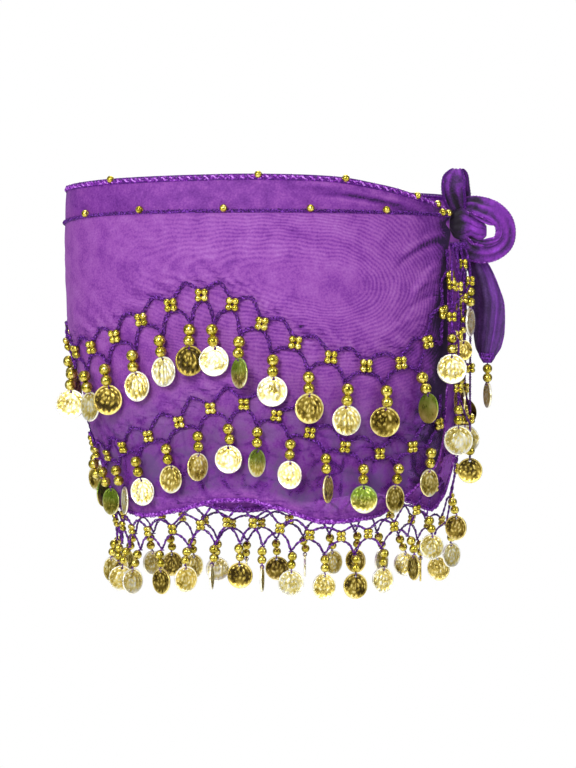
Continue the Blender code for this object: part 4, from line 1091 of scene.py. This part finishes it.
def laceClusters(row, clusters):
    # four small beads at the middle of each cell, and the two threads that run through them
    half = row["clusterHalf"]
    reach = 0.5 * half
    beadOut = laceSizes["lift"] + reach
    small = bead(0.6 * half, "cluster")
    threads, beads = [], []
    for point, hanging in clusters:
        way = (0.45 * hanging[0], 0.45 * hanging[1] - 0.55)
        way = (way[0] / math.hypot(*way), way[1] / math.hypot(*way))
        along = (way[1], -way[0])
        for sx, sy in ((-1, -1), (1, -1), (1, 1), (-1, 1)):
            at = shifted(point, (along[0] * sx + way[0] * sy) * reach,
                         (along[1] * sx + way[1] * sy) * reach)
            centre = clothPoint(*at, beadOut)
            outward = unit(clothPoint(*at, beadOut + 1.0) - centre)
            down = unit(clothPoint(*shifted(at, way[0], way[1]), beadOut) - centre)
            beads.append(placed(small, centre, np.cross(outward, down), outward, down))
        for sx in (-1, 1):
            ends = [shifted(point, (along[0] * sx * 0.4 + way[0] * sy) * half,
                            (along[1] * sx * 0.4 + way[1] * sy) * half)
                    for sy in (-1.15, 0.0, 1.15)]
            path, outs = onCloth(rounded(ends, 4), beadOut)
            threads.append(tube(path, laceSizes["clusterThread"], outs, 5))
    return threads, beads


def lacePendants(row, nodes, free):
    # two beads and a coin on a thread at each lower point of the net; a free row hangs below the
    # cloth, so its coins are seen from both sides
    big = bead(laceSizes["beadSwell"] * row["beadRadius"], "pendant")
    threads, beads, coins, tones = [], [], [], []
    places = [place for place in nodes[1:-1] if carriesCoin(row, place)]
    for number, place in enumerate(places):
        turn = row["turns"][number % len(row["turns"])]
        tone = row["tones"][number % len(row["tones"])]
        sway = rng.uniform(-1.0, 1.0, 4)
        outward = clothPoint(*place, 1.0) - clothPoint(*place, 0.0)
        outward = unit(outward * [1.0, 1.0, 0.0])
        side = np.array([-outward[1], outward[0], 0.0])
        beadOut = laceSizes["lift"] + row["beadRadius"] + laceSizes["pendantGap"]
        coinReach = row["coinRadius"] * abs(math.sin(math.radians(turn)))
        coinOut = laceSizes["lift"] + max(coinReach, row["beadRadius"]) + laceSizes["pendantGap"]
        asides = [most * share for most, share in zip(laceSizes["sway"], sway)]
        first, second, centre = [
            clothPoint(place[0], place[1] - drop, out) + side * aside
            for drop, out, aside in (
                (row["beadOneDrop"], beadOut, asides[0]),
                (row["beadTwoDrop"], 0.5 * (beadOut + coinOut), asides[1]),
                (row["coinDrop"], coinOut, asides[2]))
        ]
        lean = unit(np.array([0.0, 0.0, 1.0]) + side * laceSizes["lean"] * sway[3])
        for middle, size in ((first, 1.0), (second, laceSizes["secondBead"])):
            beads.append(placed(big, middle, unit(np.cross(lean, outward)), outward, lean, size))
        wide, deep, up = hangingCoin(coins, tones, centre, side, outward, row["coinRadius"],
                                     turn, laceSizes["coinTilt"] * sway[3], tone,
                                     (number + 1) % 3, free)
        hook = centre + up * (row["coinRadius"] - laceSizes["hookInset"])
        start = clothPoint(*place, laceSizes["cordOut"])
        path = rounded([start, first, 0.5 * (first + second), second, hook + up * 1.2, hook], 5)
        threads.append(tube(path, laceSizes["pendantThread"], side + 0.01 * outward, 5))
        threads.append(threadLoop(hook, deep, up, *laceSizes["coinLoop"]))
        for shift in (-0.5, 0.5):
            root = start - [0.0, 0.0, 1.2] + side * shift
            threads.append(threadLoop(root, side, outward, *laceSizes["netLoop"]))
    return threads, beads, coins, tones


def buildLaceRow(name, node):
    row = laceRows[name]
    peaks, clusters, nodes = cellLayout(name, row)
    clusterThreads, smallBeads = laceClusters(row, clusters)
    pendantThreads, bigBeads, coins, tones = lacePendants(row, nodes, name == "hem")
    threads = laceNet(row, peaks, clusters, nodes) + clusterThreads + pendantThreads
    makePiece(f"lace_thread_{name}", threads, thread, (node,))
    makePiece(f"lace_beads_{name}", smallBeads + bigBeads, giltBeads)
    makePiece(f"lace_coins_{name}", coins, giltCoins, values=coinValues(tones))


buildLaceRow("upper", "coin_row_upper")
buildLaceRow("middle", "coin_row_middle")
buildLaceRow("hem", "coin_row_hem")


# places on the knot, bow and tail are right, up and back of the knot's middle
knotCentre = np.array([146.0, -34.0, -4.0])


def fromKnot(right, up, back):
    return knotCentre + np.stack(np.broadcast_arrays(right, back, up), axis=-1)


knotSizes = {
    "rings": np.array([  # right, up, half height, half depth
        (-7.0, 0.0, 5.0, 3.5), (-3.5, 0.0, 11.0, 6.5), (2.0, 0.0, 12.6, 8.2), (7.0, -1.0, 9.8, 8.2),
        (12.0, -4.0, 7.8, 7.5), (17.0, -5.6, 7.0, 6.3), (20.5, -6.0, 3.8, 3.4),
    ]),
    "around": 96, "along": 60, "pleats": 9, "pleatDepth": 1.0, "slant": 5.5,
    # dark and lit paint the knot: shade on its left part beside the cloth and a highlight on its
    # bulge
    "dark": 0.62, "lit": 0.24, "litRight": 12.0, "litUp": -5.0, "litReach": 4.2,
}


def buildKnot():
    sizes = knotSizes
    at = sizes["rings"][:, 0]
    curves = [SmoothCurve(at, sizes["rings"][:, k]) for k in (1, 2, 3)]
    right = np.linspace(at[0], at[-1], sizes["along"])[:, None]
    turn = (2.0 * np.pi * np.arange(sizes["around"]) / sizes["around"])[None]
    share = (right - at[0]) / (at[-1] - at[0])
    phase = sizes["pleats"] * turn + sizes["slant"] * share + 0.8 * np.sin(2.0 * turn + 4.0 * share)
    fade = np.sin(np.pi * np.clip(share, 0.02, 0.98)) ** 0.5
    waist = -1.1 * np.exp(-((right - 8.5) / 1.8) ** 2)
    crest = np.abs(np.sin(0.5 * phase)) ** 0.6
    pleat = sizes["pleatDepth"] * (crest * 2.0 - 1.5) * fade + waist
    up = curves[0](right) + (curves[1](right) + pleat) * np.sin(turn)
    back = (curves[2](right) + pleat) * np.cos(turn)
    points = fromKnot(right + 0.0 * turn, up, back)
    rows = sizes["around"]
    faces = gridFaces(len(points), rows, True)
    faces.append(tuple(range(rows)))
    faces.append(tuple(range(len(points) * rows - 1, (len(points) - 1) * rows - 1, -1)))
    # painted light and shade: a highlight on the bulge, shade in the pleat valleys and on the left
    # part
    fromHighlight = np.hypot(right - sizes["litRight"], up - sizes["litUp"]) / sizes["litReach"]
    shade = sizes["lit"] * np.exp(-fromHighlight ** 2) - 0.3 * (1.0 - crest) ** 2
    shade = shade - sizes["dark"] * easeBetween(right, 7.0, -3.0)
    makePiece("knot_of_both_ends", [(points.reshape(-1, 3), faces)], gatheredShadedChiffon,
              ("knot",), {"shade": shade})


buildKnot()

# right, up, back, half width and tilt in degrees of each place along a folded band
# the first and last places are hidden in the knot
earPath = np.array([
    (0.0, 7.0, -1.0, 5.0, 90.0), (-3.0, 16.0, -5.0, 7.5, 90.0), (-4.6, 25.0, -8.0, 8.2, 90.0),
    (-3.4, 33.0, -7.0, 8.0, 86.0), (-1.0, 39.5, -1.0, 3.4, 82.0), (1.2, 35.0, 5.0, 5.4, 78.0),
    (1.8, 27.0, 7.0, 6.2, 82.0), (3.0, 16.5, 4.5, 6.0, 90.0), (4.0, 8.0, 1.0, 5.0, 90.0),
])
loopPath = np.array([
    (1.5, 12.0, -1.0, 4.6, 20.0), (9.5, 13.5, -2.0, 6.6, 24.0), (17.0, 11.6, -5.0, 7.9, 25.0),
    (25.5, 8.2, -5.5, 8.3, 28.0), (32.2, 1.8, -4.0, 8.6, 33.0), (34.6, -6.4, -1.0, 8.9, 36.0),
    (32.6, -14.4, 2.0, 9.0, 33.0), (25.4, -20.0, 4.0, 8.6, 28.0), (16.6, -22.0, 4.0, 7.6, 24.0),
    (8.4, -20.4, 2.0, 6.3, 24.0), (2.0, -13.0, 0.0, 4.6, 20.0),
])
# the inner fold of the loop, which leaves a small hole beside the knot
loopFold = np.array([
    (3.0, 8.6, -1.5, 3.0, 20.0), (10.5, 7.6, -4.4, 3.8, 22.0), (16.5, 4.9, -6.9, 4.6, 25.0),
    (22.0, 1.7, -7.9, 4.4, 28.0), (27.6, -0.4, -6.8, 3.2, 32.0), (30.8, -5.4, -4.4, 3.2, 34.0),
    (29.2, -11.4, -2.4, 2.8, 32.0), (23.4, -14.2, -0.6, 3.6, 28.0), (16.6, -15.0, 0.8, 3.0, 24.0),
    (8.4, -12.6, 0.6, 2.4, 20.0),
])
bandSizes = {
    "halfThickness": 1.5, "pleats": 2.3, "pleatDepth": 1.15, "paintedValleyShade": 0.19, "dark": 0.34,
    "cord": (0.5, 0.55, 4.6), "core": 0.5, "coreInset": 0.9,
}
# how pale each band is (the ear darker, as painted shade), its places around, and the steps from
# one place of its path to the next
bandMesh = {"ear": (-0.14, 56, 9), "loop": (0.02, 56, 9), "fold": (-0.02, 28, 6)}


def bandSkin(path, level, tone, around, step):
    # a folded band of gathered chiffon with lengthwise pleats, its painted shade (paler on the
    # pleat ridges, darker in the valleys and where it goes into the knot), and its middle line with
    # the directions across it and out of it
    sizes = bandSizes
    fine = rounded(path, step)
    centres = fromKnot(fine[:, 0], fine[:, 1], fine[:, 2])
    along = unit(np.gradient(centres, axis=0))
    tilt = np.radians(fine[:, 4:5])
    back = np.array([0.0, 1.0, 0.0])
    if level:
        across = np.concatenate([np.sin(tilt), np.cos(tilt), 0.0 * tilt], axis=1)
    else:
        upright = unit(np.cross(along, back))
        across = upright * np.cos(tilt) + back * np.sin(tilt)
    width = unit(across - along * np.sum(across * along, axis=1, keepdims=True))
    depth = unit(np.cross(along, width))
    turn = (2.0 * np.pi * np.arange(around) / around)[None, :, None]
    share = np.linspace(0.0, 1.0, len(fine))[:, None, None]
    reach = np.cos(turn)
    fold = np.sin(sizes["pleats"] * np.pi * reach + 3.0 * share + 1.2 * np.sin(7.0 * share))
    fold = fold * (0.65 + 0.35 * np.sin(11.0 * share + 2.2 * reach))
    pleat = sizes["pleatDepth"] * fold * np.clip(fine[:, None, 3:4] / 7.0, 0.3, 1.0)
    thick = sizes["halfThickness"] * 0.62 * np.sin(turn) + pleat * (1.0 - reach ** 2) ** 0.3
    points = centres[:, None] + width[:, None] * fine[:, None, 3:4] * reach + depth[:, None] * thick
    faces = gridFaces(len(points), around, True)
    faces.append(tuple(range(around)))
    faces.append(tuple(range(len(points) * around - 1, (len(points) - 1) * around - 1, -1)))
    # painted shade towards the band's ends in the knot, and painted light and shade on the pleats
    ends = 1.0 - easeBetween(share, 0.08, 0.3) * (1.0 - easeBetween(share, 0.7, 0.94))
    shade = tone + sizes["paintedValleyShade"] * fold * np.where(np.sin(turn) > 0.0, 1.0, -1.0)
    shade = shade - sizes["dark"] * ends
    return (points.reshape(-1, 3), faces), shade.ravel(), (centres, width * fine[:, 3:4], depth)


def bandCords(line, reach, depth):
    # the crocheted edge along both sides of a band
    cords = []
    for sign in (-1.0, 1.0):
        edge = line + reach * sign
        cords += twistedCord(edge, depth, *bandSizes["cord"])
        inner = edge - unit(reach) * sign * bandSizes["coreInset"]
        cords.append(tube(inner, bandSizes["core"], depth, 5))
    return cords


def buildBow():
    skin, shade, line = bandSkin(earPath, True, *bandMesh["ear"])
    makePiece("bow_ear_chiffon", [skin], gatheredShadedChiffon, ("bow_ear",),
              {"shade": shade})
    cords = bandCords(*line)
    skin, shade, line = bandSkin(loopPath, False, *bandMesh["loop"])
    inner, innerShade, _ = bandSkin(loopFold, False, *bandMesh["fold"])
    makePiece("bow_loop_chiffon", [skin, inner], gatheredShadedChiffon, ("bow_loop",),
              {"shade": np.concatenate([shade, innerShade])})
    return cords + bandCords(*line)


bandEdges = buildBow()

tailSizes = {
    "sections": np.array([  # right, up, back, half width, pleat depth
        (7.0, -9.0, 10.0, 3.5, 1.2), (11.5, -21.0, 15.0, 5.0, 1.7),
        (16.0, -33.0, 17.5, 8.5, 2.1), (20.0, -45.0, 20.0, 10.0, 2.6),
        (23.0, -62.0, 20.0, 12.0, 2.8), (23.5, -80.0, 19.0, 11.5, 2.6),
        (23.0, -92.0, 18.0, 9.5, 2.2), (22.5, -98.5, 18.0, 6.0, 1.6),
    ]),
    "pleats": 1.7, "columns": 84, "rows": 90, "wall": 0.3, "edgeThread": 0.5,
}


def buildTail():
    sizes = tailSizes
    down = -sizes["sections"][:, 1]
    curves = [SmoothCurve(down, sizes["sections"][:, k]) for k in (0, 2, 3, 4)]
    at = np.linspace(down[0], down[-1], sizes["rows"])[None]
    share = np.linspace(0.0, 1.0, sizes["columns"])[:, None]
    phase = 2.0 * np.pi * sizes["pleats"] * share
    phase = phase + 0.8 * np.sin(0.06 * at + 2.5 * share) + 0.5
    pleat = curves[3](at) * np.sin(phase) + 0.4 * np.sin(3.1 * phase + 0.1 * at)
    # painted light and shade: paler pleat ridges and darker valleys, the left side darker and the
    # right side paler, and darker at the top under the knot
    shade = 0.22 * np.sin(phase) + 0.1 * np.sin(3.1 * phase + 0.1 * at)
    shade = shade - 0.5 * easeBetween(share, 0.42, 0.12) + 0.22 * easeBetween(share, 0.62, 0.95)
    shade = shade - 0.3 * easeBetween(at, 34.0, 18.0)
    right = curves[0](at) + (2.0 * share - 1.0) * curves[2](at)
    points = fromKnot(right, -at + 0.0 * share, curves[1](at) + pleat)
    piece = makePiece("tail_chiffon", [(points.reshape(-1, 3), gridFaces(*points.shape[:2]))],
                      shadedTailChiffon, ("tail",), {"shade": shade})
    giveWall(piece, sizes["wall"])
    edge = points[-1]
    return piece, tube(edge, sizes["edgeThread"], np.array([0.0, -1.0, 0.0]) + 0.0 * edge, 5)


tailPiece, tailEdge = buildTail()
# the lift values paint shade on the edge threads: most on the ear, then the tail, little on the
# loop
makePiece("bow_and_tail_edges", [*bandEdges, tailEdge], edgeThread,
          values={"lift": [-0.2] * 6 + [-0.02] * 6 + [-0.12]})  # ear, loop and tail
print("bow and tail made")


# the surplus lace of both ends, bunched under the knot
strandSizes = {
    # right, back, coin height, coin radius, turn, tone and cluster heights of each strand
    "strands": [
        (-6.5, -23.0, -109.0, 11.0, 5.0, 0.85, (-47.0, -70.5)),
        (-1.5, -19.0, -161.6, 11.0, -8.0, 0.9, (-48.0, -84.0, -123.0)),
        (2.5, -13.0, -95.0, 7.6, -30.0, 0.4, (-31.0, -56.5)),
        (8.0, -8.0, -74.0, 10.5, -70.0, 0.95, (-43.5,)),
        (0.5, -3.0, -132.0, 10.5, 72.0, 0.5, (-62.0, -93.5)),
        (8.5, 4.5, -184.6, 9.4, 10.0, 0.3, (-108.0, -146.0)),
        (5.0, 10.5, -161.6, 11.0, -6.0, 0.8, (-68.0, -98.0, -123.0)),
    ],
    # arcs of the folded net: strand and height of both ends
    "links": [
        (0, -66.0, 2, -54.0), (0, -74.0, 1, -88.0), (1, -50.0, 2, -34.0), (2, -60.0, 3, -46.0),
        (1, -80.0, 4, -90.0), (4, -58.0, 6, -70.0), (1, -119.0, 6, -119.0), (6, -102.0, 5, -112.0),
        (4, -98.0, 5, -106.0), (5, -142.0, 6, -127.0), (1, -127.0, 5, -150.0), (3, -40.0, 6, -64.0),
    ],
    # where each strand leaves the knot, right and back
    "roots": [(-4.5, -1.5), (-1.5, -1.5), (1.5, -1.5), (4.5, -1.5), (-4.5, 1.5), (-1.5, 1.5),
              (1.5, 1.5)],
    "gatherUp": -17.0, "neckUp": -36.0, "beadRadius": 3.4, "clusterHalf": 3.4,
    "beadOneAbove": 22.5, "beadTwoAbove": 14.9, "cord": (0.46, 0.5, 3.6), "link": (0.42, 0.46, 3.4),
    "windings": 9, "windingThread": 0.42, "windingUp": 2.2, "windingPitch": 0.55,
    "windingReach": (6.4, 3.4),
}


def pathAt(path, up):
    # the place on a hanging path at a height over the knot
    rising = path[np.argsort(path[:, 2])]
    return np.array([np.interp(knotCentre[2] + up, rising[:, 2], rising[:, k]) for k in range(3)])


def buildStrands():
    sizes = strandSizes
    threads, beads, coins, tones = [], [], [], []
    small = bead(0.62 * sizes["clusterHalf"], "cluster")
    big = bead(laceSizes["beadSwell"] * sizes["beadRadius"], "pendant")
    x, y, z = np.eye(3)
    paths = []
    for k, (strand, root) in enumerate(zip(sizes["strands"], sizes["roots"])):
        right, back, coinUp, radius, turn, tone, clusterUps = strand
        a = math.radians(turn)
        side = x * math.cos(a * 0.5) + y * math.sin(a * 0.5)
        hook = fromKnot(right, coinUp + radius - laceSizes["hookInset"], back)
        places = [fromKnot(root[0], sizes["gatherUp"], root[1]),
                  fromKnot(0.6 * right + 0.4 * root[0], 0.5 * (sizes["neckUp"] + sizes["gatherUp"]),
                           0.6 * back + 0.4 * root[1]),
                  fromKnot(right, sizes["neckUp"], back)]
        if clusterUps[-1] < sizes["neckUp"] - 6.0:
            places.append(fromKnot(right, clusterUps[-1], back))
        places += [fromKnot(right, coinUp + 26.0, back), hook]
        if places[-2][2] > places[-3][2] - 2.0:
            del places[-2]
        path = rounded(places, 10)
        outs = np.array([0.0, -1.0, 0.0]) + 0.0 * path
        paths.append(path)
        threads += twistedCord(path, outs, *sizes["cord"], fuzz=0.3)
        for up in clusterUps:
            middle = pathAt(path, up)
            for sx in (-1, 1):
                for sz in (-1, 1):
                    reach = 0.5 * sizes["clusterHalf"]
                    centre = middle + side * sx * reach + z * sz * reach
                    beads.append(placed(small, centre, side, np.cross(z, side), z))
        for above in (sizes["beadOneAbove"], sizes["beadTwoAbove"]):
            beads.append(placed(big, fromKnot(right, coinUp + above, back), x, y, z,
                                radius / 11.0 if radius < 9 else 1.0))
        wide, deep, up = hangingCoin(coins, tones, fromKnot(right, coinUp, back), x, -y, radius,
                                     turn, 0.0, tone, k % 3)
        threads.append(threadLoop(hook, deep, up, *laceSizes["coinLoop"]))

    for first, firstUp, second, secondUp in sizes["links"]:
        a, b = pathAt(paths[first], firstUp), pathAt(paths[second], secondUp)
        sag = np.array([0.0, -1.5, -2.5 if firstUp > secondUp else 2.5])
        path = rounded([a, 0.5 * (a + b) + sag, b], 8)
        outs = np.array([0.0, -1.0, 0.0]) + 0.0 * path
        threads += twistedCord(path, outs, *sizes["link"], fuzz=0.3)
    turn = np.linspace(0.0, 2.0 * np.pi, 25)
    wide, deep = sizes["windingReach"]
    for k in range(sizes["windings"]):  # the thread wound round the gather
        up = sizes["gatherUp"] + sizes["windingUp"] - sizes["windingPitch"] * k
        ring = fromKnot(wide * np.cos(turn), up + 0.3 * np.sin(turn + k), deep * np.sin(turn))
        threads.append(tube(ring, sizes["windingThread"], (0.0, 0.0, 1.0), 5))
    makePiece("gathered_lace_thread", threads, thread, ("gathered_lace",))
    makePiece("gathered_lace_beads", beads, giltBeads)
    makePiece("gathered_lace_coins", coins, giltCoins, values=coinValues(tones))


buildStrands()

pendantSizes = {
    "top": (22.5, -99.4, 18.0), "rows": 12, "rowPitch": 0.62, "firstRow": 2.4,
    "gatherWide": 6.4, "gatherDeep": 1.9, "closes": 0.62, "rowThread": 0.45,
    "beadDrops": (9.0, 15.8), "beadRadius": 3.6, "coinDrop": 29.0, "coinRadius": 9.6,
    "coinTurn": 78.0, "coinTone": 0.7,
}


def buildTailPendant():
    sizes = pendantSizes
    top = fromKnot(*sizes["top"])
    x, y, z = np.eye(3)
    threads, beads, coins, tones = [], [], [], []
    turn = np.linspace(0.0, 2.0 * np.pi, 25)
    for k in range(sizes["rows"]):  # rows of stitches that close the tail's end
        reach = sizes["gatherWide"] * (1.0 - sizes["closes"] * (k / sizes["rows"]) ** 1.5)
        ring = top + z * (sizes["firstRow"] - sizes["rowPitch"] * k)
        ring = ring + np.outer(np.cos(turn), x) * reach
        ring = ring + np.outer(np.sin(turn), y) * sizes["gatherDeep"]
        threads.append(tube(ring, sizes["rowThread"], z, 5))
    form = bead(sizes["beadRadius"], "pendant")
    for drop in sizes["beadDrops"]:
        beads.append(placed(form, top - z * drop, x, y, z))
    wide, deep, up = hangingCoin(coins, tones, top - z * sizes["coinDrop"], x, -y,
                                 sizes["coinRadius"], sizes["coinTurn"], 0.0, sizes["coinTone"], 1)
    hook = top - z * (sizes["coinDrop"] - sizes["coinRadius"] + laceSizes["hookInset"])
    path = rounded([top - z * 3.0, top - z * 8.0, hook], 6)
    threads.append(tube(path, laceSizes["pendantThread"], y, 5))
    threads.append(threadLoop(hook, deep, up, *laceSizes["coinLoop"]))
    makePiece("tail_pendant_thread", threads, thread, ("tail_pendant",))
    makePiece("tail_pendant_beads", beads, giltBeads)
    makePiece("tail_pendant_coin", coins, giltCoins, values=coinValues(tones))


buildTailPendant()


# height and radius in metres
stageSizes = {"floorHeight": -0.9, "floorRadius": 3.0, "floorCorners": 96, "cloudMm": 500.0}


def buildStage():
    corners, radius = stageSizes["floorCorners"], stageSizes["floorRadius"]
    turn = 2.0 * np.pi * np.arange(corners) / corners
    points = [(radius * math.cos(a), radius * math.sin(a), stageSizes["floorHeight"]) for a in turn]
    data = bpy.data.meshes.new("floor")
    data.from_pydata(points, [], [tuple(range(corners))])
    floor = bpy.data.objects.new("floor", data)
    bpy.context.collection.objects.link(floor)
    # rolled emulsion paint: matt, pale and very slightly cloudy
    material, tree, shader, place = startMaterial("palePaintedFloor")
    cloud = addNode(tree, "ShaderNodeTexNoise", {
        "Scale": 1000.0 / stageSizes["cloudMm"], "Detail": 3.0, "Vector": place}).outputs["Fac"]
    paint = addNode(tree, "ShaderNodeValToRGB", {
        "stops": [(0.3, "#E9E9EA"), (0.7, "#F2F2F2")], "Fac": cloud}).outputs["Color"]
    tree.links.new(paint, shader.inputs["Base Color"])
    shader.inputs["Roughness"].default_value = 0.8
    data.materials.append(material)


# place and size in metres, power in watts
softboxes = {
    "keySoftbox": {"place": (-0.7, -2.4, 0.9), "size": (0.8, 0.8), "power": 60.0},
    "rightSoftbox": {"place": (1.9, -1.2, 0.3), "size": (0.4, 1.0), "power": 13.0},
    "leftSoftbox": {"place": (-1.9, -1.4, 0.2), "size": (0.4, 1.0), "power": 13.0},
    "backSoftbox": {"place": (0.2, 2.0, 1.2), "size": (1.6, 1.0), "power": 34.0},
    "topSoftbox": {"place": (0.0, 0.0, 1.7), "size": (1.0, 1.0), "power": 16.0},
}
scarfMiddle = Vector((0.0, 0.0, -0.1))  # where every light is turned to


def addSoftbox(name, box):
    data = bpy.data.lights.new(name, "AREA")
    data.shape = "RECTANGLE"
    data.size, data.size_y = box["size"]
    data.energy = box["power"]
    light = bpy.data.objects.new(name, data)
    light.location = box["place"]
    light.rotation_euler = (scarfMiddle - Vector(box["place"])).to_track_quat("-Z", "Y").to_euler()
    bpy.context.collection.objects.link(light)


def buildLight():
    # the world is seen plain white and lights the scarf more softly from above
    world = bpy.data.worlds.new("softStudio")
    bpy.context.scene.world = world
    world.use_nodes = True
    tree = world.node_tree
    tree.nodes.clear()
    seen = addNode(tree, "ShaderNodeBackground", {"Color": toLinear("#FFFFFF"), "Strength": 1.0})
    way = addNode(tree, "ShaderNodeTexCoord").outputs["Generated"]
    height = addNode(tree, "ShaderNodeSeparateXYZ", {0: way}).outputs["Z"]
    glow = addNode(tree, "ShaderNodeValToRGB", {
        "stops": [(0.0, "#4E4A46"), (0.38, "#A8A49C"), (0.72, "#F2F0EA")],
        "Fac": height}).outputs["Color"]
    fill = addNode(tree, "ShaderNodeBackground", {"Color": glow, "Strength": 0.55})
    path = addNode(tree, "ShaderNodeLightPath").outputs["Is Camera Ray"]
    mix = addNode(tree, "ShaderNodeMixShader", {0: path, 1: fill.outputs[0], 2: seen.outputs[0]})
    addNode(tree, "ShaderNodeOutputWorld", {"Surface": mix.outputs[0]})
    for name, box in softboxes.items():
        addSoftbox(name, box)


cameraSizes = {"place": (0.0187, -2.2, -0.124), "sensorMm": 36.0, "lensMm": 136.3}


def buildCamera():
    # level, in front and at hem height
    camera = bpy.data.objects.new("camera", bpy.data.cameras.new("camera"))
    bpy.context.collection.objects.link(camera)
    camera.location = cameraSizes["place"]
    camera.rotation_euler = (math.radians(90.0), 0.0, 0.0)
    camera.data.sensor_width = cameraSizes["sensorMm"]
    camera.data.lens = cameraSizes["lensMm"]
    bpy.context.scene.camera = camera


buildStage()
buildLight()
buildCamera()
bpy.context.scene.view_settings.view_transform = "Standard"
print("floor, light and camera made")
